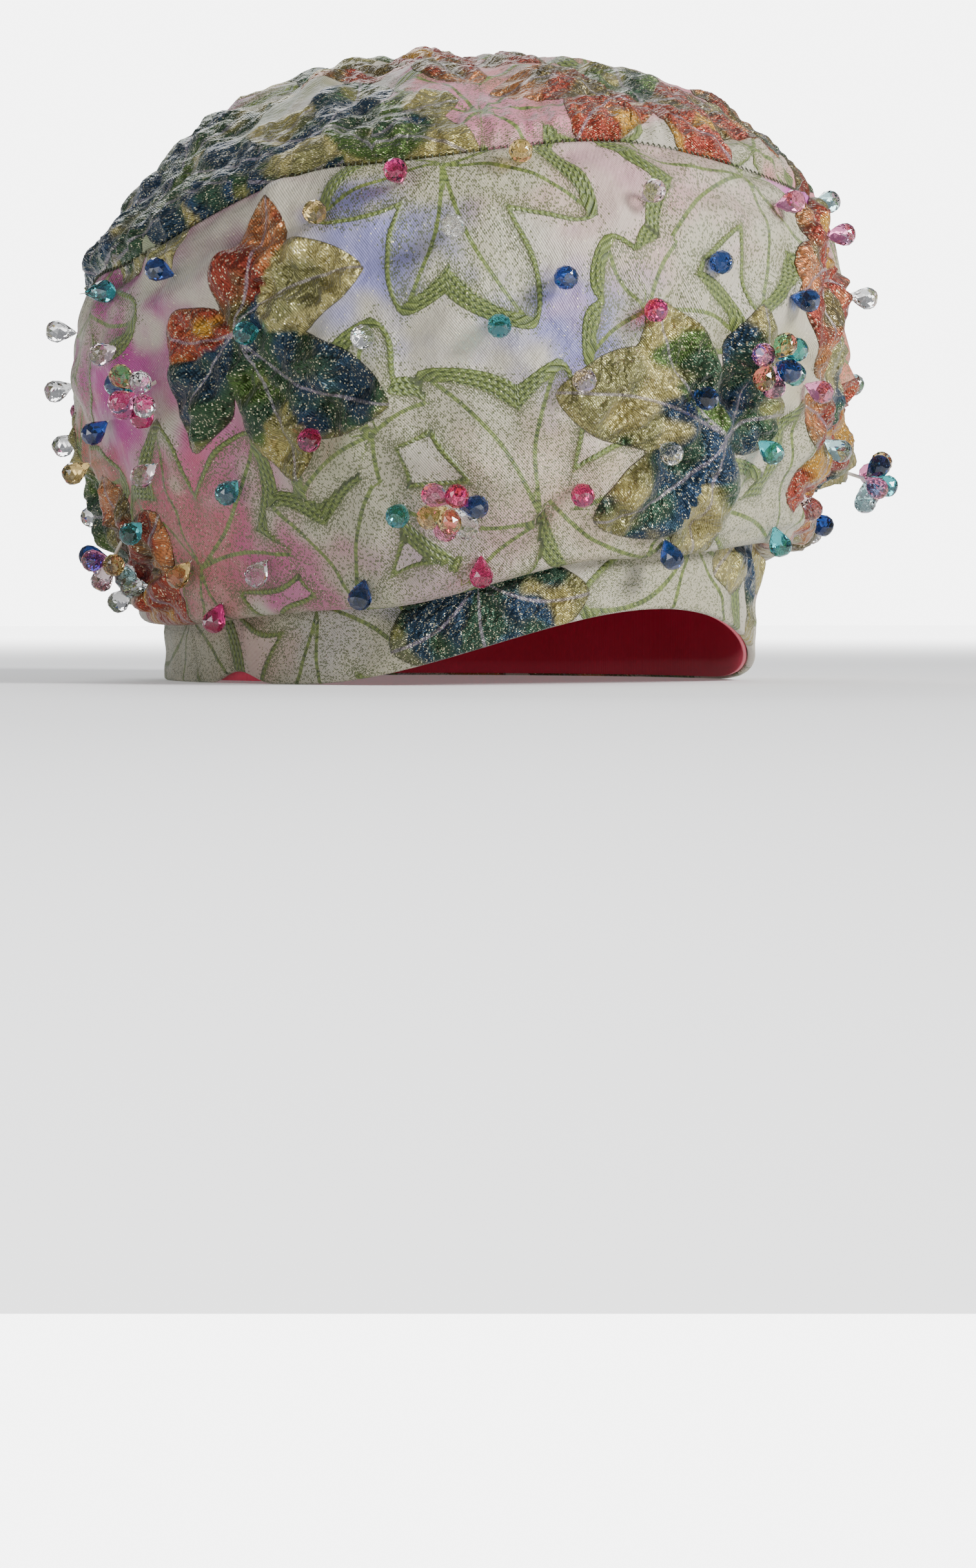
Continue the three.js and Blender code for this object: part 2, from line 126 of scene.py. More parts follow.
def form_point(azimuth, level, inward=0.0, extra=0.0):
    """The outer form. Levels run from -1 at the bottom fold, through 0 at the widest line, to 1."""
    widest = HAT_HEIGHT * form_at(azimuth, "widest")
    fold = HAT_HEIGHT * form_at(azimuth, "fold")
    bulge = RIM_HALF_WIDTH * form_at(azimuth, "bulge")
    climb = np.clip(1 + level, 0, 1)
    swell = 1 - (1 - climb) ** form_at(azimuth, "lower")
    out_low = FOLD_STAND_OFF + (bulge - FOLD_STAND_OFF) * swell
    angle = np.radians(90 * np.clip(level, 0, 1))
    power = 2 / form_at(azimuth, "dome")
    rise = widest + (HAT_HEIGHT - inward + extra - widest) * np.sin(angle) ** power
    above = np.asarray(level) > 0
    height = np.where(above, rise, fold + (widest - fold) * climb)
    out = np.where(above, bulge, out_low) - inward + extra
    inset = np.where(above, np.clip(np.cos(angle), 0, 1) ** power, 1)
    return round_rim(azimuth, out, height, inset)


def level_at(azimuth, height):
    """The level of the dome at a height."""
    widest = HAT_HEIGHT * form_at(azimuth, "widest")
    share = np.clip((height - widest) / (HAT_HEIGHT - widest), 0, 1)
    return np.degrees(np.arcsin(share ** (form_at(azimuth, "dome") / 2))) / 90


def near_seam(azimuth, height, reach):
    """1 at the seam's height, falling to 0 away from it."""
    away = (height - HAT_HEIGHT * form_at(azimuth, "seam")) / reach
    return np.exp(-away * away)


def drape_relief(azimuth, level):
    height = form_point(azimuth, level)[..., 2]
    out = -SEAM_GROOVE * near_seam(azimuth, height, SEAM_REACH / 2)
    for fold_azimuth, rise, slope, along, across, depth in FOLDS:
        turned = wrapped(azimuth - fold_azimuth)
        centre = rise + slope * turned / 90
        spread = (turned / along) ** 2 + ((height / HAT_HEIGHT - centre) / across) ** 2
        out = out + depth * DRAPE_WALL * np.exp(-spread)
    return out


# Woven leaves: azimuth and level of the hub, turn, then each lobe's heading from upright (degrees)
# and length (mm). Stitched leaves have a chain-stitched edge, and puffed ones are metallic cloth,
# named by its colour.
PALM = ((0, 44), (60, 42), (125, 30), (-60, 40), (-125, 30))
BROAD = ((0, 50), (45, 42), (100, 36), (-45, 42), (-100, 36), (160, 26))
SMALL = ((0, 32), (65, 30), (-65, 30), (130, 22), (-130, 22))
STITCHED_LEAVES = [
    (-15, -0.8, -30, BROAD),
    (-30, 0.3, 150, BROAD),
    (25, 0.3, -120, BROAD),
    (-75, -0.8, 50, BROAD),
    (-105, -0.3, 10, BROAD),
    (5, -1, 0, PALM),
    (40, -1, -20, PALM),
    (-90, 0.1, -30, PALM),
    (-45, -1, 20, PALM),
    (5, 0.6, 180, PALM),
    (60, -0.1, 20, BROAD),
    (0, 0, 100, SMALL),
    (-40, -0.4, -60, SMALL),
    (90, -0.6, 20, PALM),
    (105, 0.2, -70, PALM),
    (135, -0.5, 150, PALM),
    (155, 0.1, 30, PALM),
    (-175, -0.6, -20, PALM),
    (-155, 0.2, 100, PALM),
    (-140, -0.5, -40, PALM),
    (-125, 0.3, 170, PALM),
]


def coloured(lobes, *cloths):
    """The lobes of a leaf, each with its puffed cloth, in turn."""
    return tuple((*lobe, cloths[k % len(cloths)]) for k, lobe in enumerate(lobes))


PUFFED_LEAVES = [
    (-60, 0, 120, coloured(BROAD, "pine", "moss", "pine", "gilt", "rust", "ember")),
    (15, -0.5, -80, coloured(BROAD, "gilt", "moss", "navy", "navy", "gilt", "pine")),
    (-95, -0.8, 60, coloured(SMALL, "rust", "ember")),
    (40, 0.1, 120, coloured(SMALL, "rust", "rust", "ember")),
    (45, -0.5, 60, coloured(SMALL, "ember", "rust", "gilt")),
    (55, 0.4, 150, coloured(SMALL, "rust", "moss")),
    (-75, 0.3, -60, coloured(SMALL, "rust", "gilt", "moss")),
    (60, -0.8, 0, coloured(SMALL, "gilt", "rust", "ember")),
    (75, -0.4, 160, coloured(PALM, "rust")),
    (85, 0.1, 10, coloured(PALM, "gilt")),
    (120, -0.2, -110, coloured(PALM, "moss")),
    (140, 0, 40, coloured(PALM, "pine")),
    (165, -0.2, -160, coloured(PALM, "rust")),
    (-165, -0.2, 70, coloured(PALM, "gilt")),
    (-145, 0.1, 10, coloured(PALM, "pine")),
    (-120, -0.4, 120, coloured(PALM, "moss")),
]
LOBE_WIDTH = 0.17
LOBE_EXTRA = 5
LOBE_SHOULDER = 0.7
LOBE_POINT = 0.72
LOBE_BEND = 0.09
LOBE_WAVE = 0.04
LOBE_WAVE_COUNT = 11
TIP_SLOPE = 0.8
LOBE_REACH = 1.4
OUT_OF_REACH = 90
NO_LEAF = 100
MOST_STRETCH = 3


def lobe_fields(points, leaves):
    """For each point, the nearest lobe of any leaf: signed distances in millimetres from its edge
    (inside is negative) and from its vein, how far out along it in millimetres and as a share of
    its length, and its number in the whole list."""
    fields = np.full((*points.shape[:-1], 5), float(NO_LEAF))
    widest = LOBE_SHOULDER / (LOBE_SHOULDER + LOBE_POINT)
    fullest = widest ** LOBE_SHOULDER * (1 - widest) ** LOBE_POINT
    number = 0
    for azimuth, level, turn, lobes in leaves:
        hub = form_point(azimuth, level)
        right = form_point(azimuth + 0.5, level) - form_point(azimuth - 0.5, level)
        up = form_point(azimuth, max(level, -0.99) + 0.01) - form_point(azimuth, max(level, -0.99))
        right = right / np.linalg.norm(right)
        normal = np.cross(right, up)
        up = np.cross(normal / np.linalg.norm(normal), right)
        away = points - hub
        reach = np.linalg.norm(away, axis=-1)
        flat_x = away @ right
        flat_y = away @ up
        stretch = np.minimum(reach / np.maximum(np.hypot(flat_x, flat_y), 1e-6), MOST_STRETCH)
        for heading, length, *_ in lobes:
            angle = math.radians(turn + heading)
            out = stretch * (flat_x * math.sin(angle) + flat_y * math.cos(angle))
            across = stretch * (flat_x * math.cos(angle) - flat_y * math.sin(angle))
            side = (-1) ** number
            share = np.clip(out / length, 1e-3, 1)
            across = across - side * LOBE_BEND * length * np.sin(math.pi * share)
            blade = (LOBE_WIDTH * length + LOBE_EXTRA) / fullest
            blade = blade * share ** LOBE_SHOULDER * (1 - share) ** LOBE_POINT
            blade = blade * (1 + LOBE_WAVE * np.sin(LOBE_WAVE_COUNT * share + number))
            edge = np.maximum(np.abs(across) - blade, TIP_SLOPE * (out - length))
            edge = np.where(out < 0, np.hypot(across, out), edge)
            edge = np.where(reach > LOBE_REACH * length, OUT_OF_REACH, edge)
            nearer = edge < fields[..., 0]
            lobe = np.stack([edge, across * side, out, share, np.full(out.shape, number)], axis=-1)
            fields = np.where(nearer[..., None], lobe, fields)
            number += 1
    return fields


NOISE_SHIFT = (7.3, 3.1, 5.7)
NOISE_SWING = 1.8


def soft_noise(points, size, seed):
    """Smooth noise of a given feature size in millimetres, from about -1 to 1."""
    shift = Vector([seed * step for step in NOISE_SHIFT])
    flat = np.asarray(points).reshape(-1, 3) / size
    values = [noise.noise(Vector(place) + shift) for place in flat.tolist()]
    return NOISE_SWING * np.array(values).reshape(np.shape(points)[:-1])


# Colour clouds on the ground: azimuth, level, reach in mm, strength and colour
IVORY = (0.42, 0.385, 0.30)
DRAPE_CLOUDS = [
    (-85, -0.1, 35, 1, (0.34, 0.022, 0.19)),
    (-65, -0.4, 25, 0.85, (0.38, 0.07, 0.20)),
    (-75, -0.7, 30, 0.85, (0.42, 0.06, 0.11)),
    (-55, -0.9, 20, 0.8, (0.40, 0.06, 0.20)),
    (-100, -0.5, 30, 0.85, (0.38, 0.08, 0.04)),
    (-90, 0.3, 30, 0.95, (0.28, 0.04, 0.16)),
    (-70, 0.3, 30, 0.85, (0.20, 0.06, 0.12)),
    (45, 0.2, 20, 1, (0.50, 0.07, 0.36)),
    (65, -0.4, 30, 1, (0.50, 0.06, 0.30)),
    (55, 0, 25, 0.9, (0.52, 0.13, 0.07)),
    (30, -0.2, 15, 0.5, (0.32, 0.30, 0.16)),
    (-10, -0.1, 20, 0.9, (0.15, 0.15, 0.38)),
    (-40, 0.1, 20, 0.9, (0.16, 0.16, 0.38)),
    (-5, 0.2, 25, 0.4, (0.52, 0.26, 0.28)),
    (-30, -0.9, 20, 0.5, (0.38, 0.20, 0.32)),
    (-10, -0.7, 30, 0.35, (0.52, 0.30, 0.24)),
    (10, 0.4, 30, 0.5, (0.50, 0.24, 0.30)),
    (-50, -0.3, 20, 0.5, (0.28, 0.30, 0.16)),
    (110, 0, 35, 0.9, (0.44, 0.08, 0.28)),
    (90, -0.3, 25, 0.8, (0.48, 0.13, 0.08)),
    (150, 0.3, 30, 0.8, (0.18, 0.16, 0.38)),
    (150, -0.7, 30, 0.8, (0.46, 0.11, 0.24)),
    (180, -0.3, 35, 0.9, (0.42, 0.07, 0.28)),
    (-140, -0.2, 35, 0.8, (0.46, 0.12, 0.12)),
    (-160, 0.4, 30, 0.8, (0.20, 0.18, 0.38)),
    (-120, 0.1, 30, 0.8, (0.42, 0.08, 0.28)),
]

# Colours of the puffed cloth: body, patches, tips, and where along a lobe its tip colour begins
PUFF_CLOTHS = {
    "pine": ((0.012, 0.032, 0.013), (0.005, 0.017, 0.034), (0.11, 0.11, 0.035), 0.82),
    "navy": ((0.005, 0.018, 0.042), (0.010, 0.030, 0.018), (0.19, 0.16, 0.055), 0.72),
    "moss": ((0.034, 0.062, 0.013), (0.010, 0.027, 0.013), (0.19, 0.16, 0.055), 0.62),
    "gilt": ((0.006, 0.018, 0.040), (0.013, 0.036, 0.016), (0.21, 0.18, 0.07), 0.34),
    "rust": ((0.125, 0.017, 0.009), (0.055, 0.040, 0.011), (0.27, 0.095, 0.034), 0.7),
    "ember": ((0.25, 0.125, 0.014), (0.14, 0.020, 0.009), (0.17, 0.024, 0.014), 0.55),
}


CLOUD_CORE = 1.3
CLOUD_WANDER = 0.4
PATCH_CONTRAST = 2.4
PATCH_SHARE_AT_TIP = 0.45
TIP_WANDER = 0.3
TIP_BLEND = 0.12


def ground_colour(points, clouds):
    colour = np.empty(points.shape)
    colour[:] = IVORY
    wander = soft_noise(points, 13, 3) + 0.5 * soft_noise(points, 6, 4)
    for azimuth, level, reach, strength, tint in clouds:
        away = np.linalg.norm(points - form_point(azimuth, level), axis=-1) / reach
        share = eased(np.clip(CLOUD_CORE - away + CLOUD_WANDER * wander, 0, 1))
        share = strength * share[..., None]
        colour = colour * (1 - share) + np.array(tint) * share
    return colour


def puff_colour(points, fields, leaves):
    rows = [PUFF_CLOTHS[cloth] for *_, lobes in leaves for _, _, cloth in lobes]
    number = np.clip(fields[..., 4], 0, len(rows) - 1).astype(int)
    body, patch, tip = (np.array([row[k] for row in rows])[number] for k in range(3))
    begins = np.array([row[3] for row in rows])[number]
    patchy = np.clip(0.5 + PATCH_CONTRAST * soft_noise(points, 10, 5), 0, 1)[..., None]
    outer = fields[..., 3] + TIP_WANDER * soft_noise(points, 9, 8)
    tipped = np.clip((outer - begins) / TIP_BLEND + 0.5, 0, 1)[..., None]
    colour = body * (1 - patchy) + patch * patchy
    patchy = PATCH_SHARE_AT_TIP * patchy
    tip = tip * (1 - patchy) + colour * patchy
    return colour * (1 - tipped) + tip * tipped


PUFF_HEIGHT = 2.3
PUFF_SHOULDER = 2.2
PUFF_WRINKLE = 3.6
PUFF_VALLEY = 1.5
VALLEY_REACH = 1.7
FINE_WRINKLE = 0.6
CLOTH_WRINKLE = 1.7
SKIRT_REACH = 7
STITCH_LIFT = 0.3
BORDER_THIN = 0.8
BORDER_SWELL = 2.8
BORDER_LOPSIDED = 0.75


def border_width(fields):
    """Width in millimetres of a stitched leaf's border: broad round a lobe's outer half."""
    outer = eased(np.clip((fields[..., 3] - 0.3) / 0.35, 0, 1))
    lopsided = 1 + BORDER_LOPSIDED * np.tanh(fields[..., 1] / 2)
    return BORDER_THIN + BORDER_SWELL * outer * lopsided


# Where the drops of the frame are sewn on, the cloth is pulled in flat round each one
def drop_stance(node):
    """The tip of a CAD drop and the way it stands, in metres."""
    points = np.array([vertex.co for vertex in node.data.vertices])
    middle = (points.min(axis=0) + points.max(axis=0)) / 2
    tip = points[np.argmax(np.linalg.norm(points - middle, axis=1))]
    out = (points - tip) @ ((middle - tip) / np.linalg.norm(middle - tip))
    table = points[out > out.max() - 0.9 * MM].mean(axis=0)
    return tip, (table - tip) / np.linalg.norm(table - tip)


CAD_DROPS = {name: drop_stance(node) for name, node in frame["nodes"].items() if name[:4] == "drop"}
SEWN = np.array([tip - CENTRE for tip, _ in CAD_DROPS.values()]) / MM
DIMPLE_REACH = 3.2


def crumpled(fields, seed):
    """Puckers across a puffed lobe, from its vein to its edge, from 0 to 1."""
    across = np.abs(fields[..., 1]) / 13
    along = fields[..., 2] / 6.5 - 1.1 * across
    places = np.stack([along, across, fields[..., 4] + 4 * (fields[..., 1] > 0)], axis=-1)
    return 1 - np.abs(soft_noise(places, 1, seed))


def brocade_relief(points, leaves):
    """How far the woven leaves, wrinkles and sewing points move the cloth out, in millimetres."""
    stitched, puffed = (lobe_fields(points, kind) for kind in leaves)
    inside = np.clip(-puffed[..., 0], 0, None)
    full = 1 - np.exp(-inside / PUFF_SHOULDER)
    valley = np.exp(-(puffed[..., 1] / VALLEY_REACH) ** 2)
    relief = full * (PUFF_HEIGHT - PUFF_VALLEY * valley)
    relief = relief + full * (1 - valley) * PUFF_WRINKLE * (crumpled(puffed, 11) - 0.75)
    relief = relief + FINE_WRINKLE * full * soft_noise(points, 4.2, 14)
    edge = stitched[..., 0]
    width = border_width(stitched)
    swell = np.clip(1 - ((edge + width / 2) / (width / 2 + 0.3)) ** 2, 0, 1)
    relief = relief + STITCH_LIFT * swell * (inside <= 0)
    skirt = np.exp(-np.clip(puffed[..., 0], 0, None) / SKIRT_REACH)
    relief = relief + CLOTH_WRINKLE * (0.6 + skirt) * soft_noise(points, 11, 17)
    gap = np.full(points.shape[:-1], 1e3)
    for place in SEWN:
        gap = np.minimum(gap, np.linalg.norm(points - place, axis=-1))
    return relief * (1 - np.exp(-(gap / DIMPLE_REACH) ** 2))


def facing_of(grid):
    """Outward normals of a grid of points whose rows climb and whose columns go round."""
    around = np.roll(grid, -1, axis=1) - np.roll(grid, 1, axis=1)
    climbing = np.gradient(grid, axis=0)
    normal = np.cross(around, climbing)
    return normal / np.maximum(np.linalg.norm(normal, axis=-1, keepdims=True), 1e-9)


def store(body, name, kind, values):
    """Writes a named attribute, one row of values for each vertex."""
    attribute = body.data.attributes.new(name, kind, "POINT")
    field = {"FLOAT": "value", "FLOAT_VECTOR": "vector", "FLOAT_COLOR": "color"}[kind]
    attribute.data.foreach_set(field, np.ascontiguousarray(values, np.float32).ravel())


def placed(name, data):
    """An object in the scene."""
    body = bpy.data.objects.new(name, data)
    bpy.context.scene.collection.objects.link(body)
    return body


def closed_shell(name, rings):
    """A closed wall from rings of points round the hat: up the outer face, down the inner one."""
    rows, columns, _ = rings.shape
    number = np.arange(rows * columns).reshape(rows, columns)
    beside = np.roll(number, -1, axis=1)
    above = np.roll(number, -1, axis=0)
    across = np.roll(above, -1, axis=1)
    faces = np.stack([number, beside, across, above], axis=-1).reshape(-1, 4)
    mesh = bpy.data.meshes.new(name)
    mesh.from_pydata((rings.reshape(-1, 3) * MM + CENTRE).tolist(), [], faces.tolist())
    mesh.polygons.foreach_set("use_smooth", [True] * len(mesh.polygons))
    return placed(name, mesh)


def close_poles(body):
    """Merges rings that have shrunk to a point, and drops what is left over between them."""
    fine = bmesh.new()
    fine.from_mesh(body.data)
    bmesh.ops.remove_doubles(fine, verts=fine.verts, dist=0.002 * MM)
    loose = [edge for edge in fine.edges if not edge.link_faces]
    bmesh.ops.delete(fine, geom=loose, context="EDGES")
    fine.to_mesh(body.data)
    fine.free()


def weave_in(body, plain, leaves, clouds, round_length):
    """Stores the woven pattern and its colours on a shell, and a UV map along the cloth in mm."""
    stitched, puffed = (lobe_fields(plain, kind) for kind in leaves)
    store(body, "stitched", "FLOAT_VECTOR", stitched[..., :3])
    store(body, "border", "FLOAT", border_width(stitched))
    store(body, "puffed", "FLOAT_VECTOR", puffed[..., :3])
    opaque = np.ones((*plain.shape[:-1], 1))
    ground = ground_colour(plain, clouds)
    store(body, "ground", "FLOAT_COLOR", np.concatenate([ground, opaque], axis=-1))
    metal = puff_colour(plain, puffed, leaves[1])
    store(body, "metal", "FLOAT_COLOR", np.concatenate([metal, opaque], axis=-1))
    rows, columns = plain.shape[:2]
    steps = np.linalg.norm(np.diff(plain, axis=0, append=plain[-1:]), axis=-1).mean(axis=1)
    above = steps.cumsum()
    below = above - steps
    turn = np.arange(columns + 1) * round_length / columns
    places = np.empty((rows, columns, 4, 2), np.float32)
    places[..., 0] = np.stack([turn[:-1], turn[1:], turn[1:], turn[:-1]], axis=-1)[None]
    places[..., 1] = np.stack([below, below, above, above], axis=-1)[:, None]
    body.data.uv_layers.new(name="cloth").data.foreach_set("uv", places.ravel())


def new_group(name, inputs, outputs):
    """An empty shader group, what it is given and what it puts out."""
    group = bpy.data.node_groups.new(name, "ShaderNodeTree")
    for title, kind in inputs:
        group.interface.new_socket(title, in_out="INPUT", socket_type=kind)
    for title in outputs:
        group.interface.new_socket(title, in_out="OUTPUT", socket_type="NodeSocketFloat")
    start = group.nodes.new("NodeGroupInput")
    end = group.nodes.new("NodeGroupOutput")
    return group, start.outputs, end.inputs


def fill(tree, socket, value):
    if isinstance(value, bpy.types.NodeSocket):
        tree.links.new(value, socket)
    else:
        socket.default_value = value


def add_node(tree, kind, sockets=(), **settings):
    """A node with its settings, and values or links for its inputs by name or number."""
    made = tree.nodes.new(kind)
    for title, value in settings.items():
        setattr(made, title, value)
    for key, value in dict(sockets).items():
        fill(tree, made.inputs[key], value)
    return made


def calculate(tree, operation, first, second=0.0, third=0.0):
    sockets = {0: first, 1: second, 2: third}
    return add_node(tree, "ShaderNodeMath", sockets, operation=operation).outputs[0]


def times(tree, first, second):
    return calculate(tree, "MULTIPLY", first, second)


def ramp_between(tree, value, low, high):
    """0 at low and 1 at high, going smoothly between them."""
    sockets = {"Value": value, "From Min": low, "From Max": high}
    return add_node(tree, "ShaderNodeMapRange", sockets, interpolation_type="SMOOTHSTEP").outputs[0]


def mix_colour(tree, share, first, second, blend="MIX"):
    mixed = add_node(tree, "ShaderNodeMix", data_type="RGBA", blend_type=blend)
    for key, value in {0: share, 6: first, 7: second}.items():
        fill(tree, mixed.inputs[key], value)
    return mixed.outputs[2]


def attribute(tree, name):
    return add_node(tree, "ShaderNodeAttribute", attribute_name=name).outputs


def parts_of(tree, vector):
    return add_node(tree, "ShaderNodeSeparateXYZ", {0: vector}).outputs


def place_group(tree, group, sockets):
    """A group with its own values in a material's tree. Returns its outputs."""
    made = tree.nodes.new("ShaderNodeGroup")
    made.node_tree = group
    for key, value in sockets.items():
        fill(tree, made.inputs[key], value)
    return made.outputs


def twill_group():
    """Fine diagonal twill: its height, and a shade from 0 to 1."""
    group, given, result = new_group(
        "satin_twill",
        [("Cloth", "NodeSocketVector"), ("Pitch", "NodeSocketFloat")],
        ["Height", "Shade"])
    way = parts_of(group, given["Cloth"])
    turn = calculate(group, "DIVIDE", 2 * math.pi, given["Pitch"])
    rise = calculate(group, "ADD", way[0], way[1])
    fall = calculate(group, "SUBTRACT", way[0], way[1])
    twill = calculate(group, "SINE", times(group, rise, turn))
    slower = times(group, turn, 0.5)
    yarn = calculate(group, "SINE", times(group, fall, slower))
    height = calculate(group, "MULTIPLY_ADD", yarn, 0.35, twill)
    group.links.new(height, result["Height"])
    group.links.new(calculate(group, "MULTIPLY_ADD", height, 0.37, 0.5), result["Shade"])
    return group


def fleck_group():
    """Scattered round flecks, such as woven dots or glints of metal yarn: a mask and a chance."""
    group, given, result = new_group(
        "flecks",
        [("Cloth", "NodeSocketVector"), ("Spacing", "NodeSocketFloat"),
         ("Radius", "NodeSocketFloat"), ("Amount", "NodeSocketFloat")],
        ["Mask", "Chance"])
    scale = calculate(group, "DIVIDE", 1, given["Spacing"])
    cells = add_node(group, "ShaderNodeTexVoronoi", {"Vector": given["Cloth"], "Scale": scale},
                     voronoi_dimensions="2D")
    colour = add_node(group, "ShaderNodeSeparateColor", {0: cells.outputs["Color"]}).outputs
    inside = calculate(group, "LESS_THAN", cells.outputs["Distance"], given["Radius"])
    chosen = calculate(group, "LESS_THAN", colour[0], given["Amount"])
    group.links.new(times(group, inside, chosen), result["Mask"])
    group.links.new(colour[1], result["Chance"])
    return group


def chain_group():
    """Chain stitch inside an edge: its mask, height and shade."""
    group, given, result = new_group(
        "chain_stitch",
        [("Edge", "NodeSocketFloat"), ("Along", "NodeSocketFloat"), ("Width", "NodeSocketFloat"),
         ("Pitch", "NodeSocketFloat"), ("Row", "NodeSocketFloat")],
        ["Mask", "Height", "Shade"])
    inward = times(group, given["Edge"], -1)
    begins = ramp_between(group, inward, -0.15, 0.15)
    beyond = calculate(group, "SUBTRACT", inward, given["Width"])
    mask = times(group, begins, ramp_between(group, beyond, 0.4, -0.4))
    rows = times(group, calculate(group, "DIVIDE", inward, given["Row"]), math.pi)
    chevron = calculate(group, "ABSOLUTE", calculate(group, "SINE", rows))
    phase = calculate(group, "DIVIDE", given["Along"], given["Pitch"])
    phase = calculate(group, "MULTIPLY_ADD", chevron, 0.45, phase)
    wave = calculate(group, "SINE", times(group, phase, 2 * math.pi))
    height = calculate(group, "MULTIPLY_ADD", wave, 0.5, calculate(group, "ADD", chevron, 0.3))
    group.links.new(mask, result["Mask"])
    group.links.new(times(group, height, mask), result["Height"])
    group.links.new(calculate(group, "MULTIPLY_ADD", height, 0.5, 0.1), result["Shade"])
    return group


# Pitches, spacings and widths of the weave are in millimetres, and radii of flecks in cells
TWILL_PITCH = 0.66
CHAIN_PITCH = 1.5
CHAIN_ROW = 1.7
DOT_SPACING = 0.45
DOT_RADIUS = 0.5
DOT_BAND = 7.5
GLINT_SPACING = 0.38
GLINT_RADIUS = 0.42
TWILL = twill_group()
FLECKS = fleck_group()
CHAIN = chain_group()
# Painted light and shade of the chain-stitch thread: the same green, lit and shaded
THREAD_PAINTED_LIT = (0.140, 0.18, 0.036, 1)
THREAD_PAINTED_SHADE = (0.020, 0.034, 0.006, 1)
DOT_GREEN = (0.062, 0.076, 0.020, 1)
LEAF_SHADE = (0.92, 0.93, 0.84, 1)
TWILL_SHADE = (0.72, 0.71, 0.72, 1)
# Painted sheen on the raised yarns of the puffed metal cloth
METAL_PAINTED_SHEEN = (1.7, 1.7, 1.5, 1)
VEIN_LILAC = (0.26, 0.22, 0.26, 1)
# Painted shade round the edges of the puffed leaves
PUFF_EDGE_PAINTED_SHADE = (0.03, 0.03, 0.012, 1)
GLINT = (0.70, 0.64, 0.42, 1)


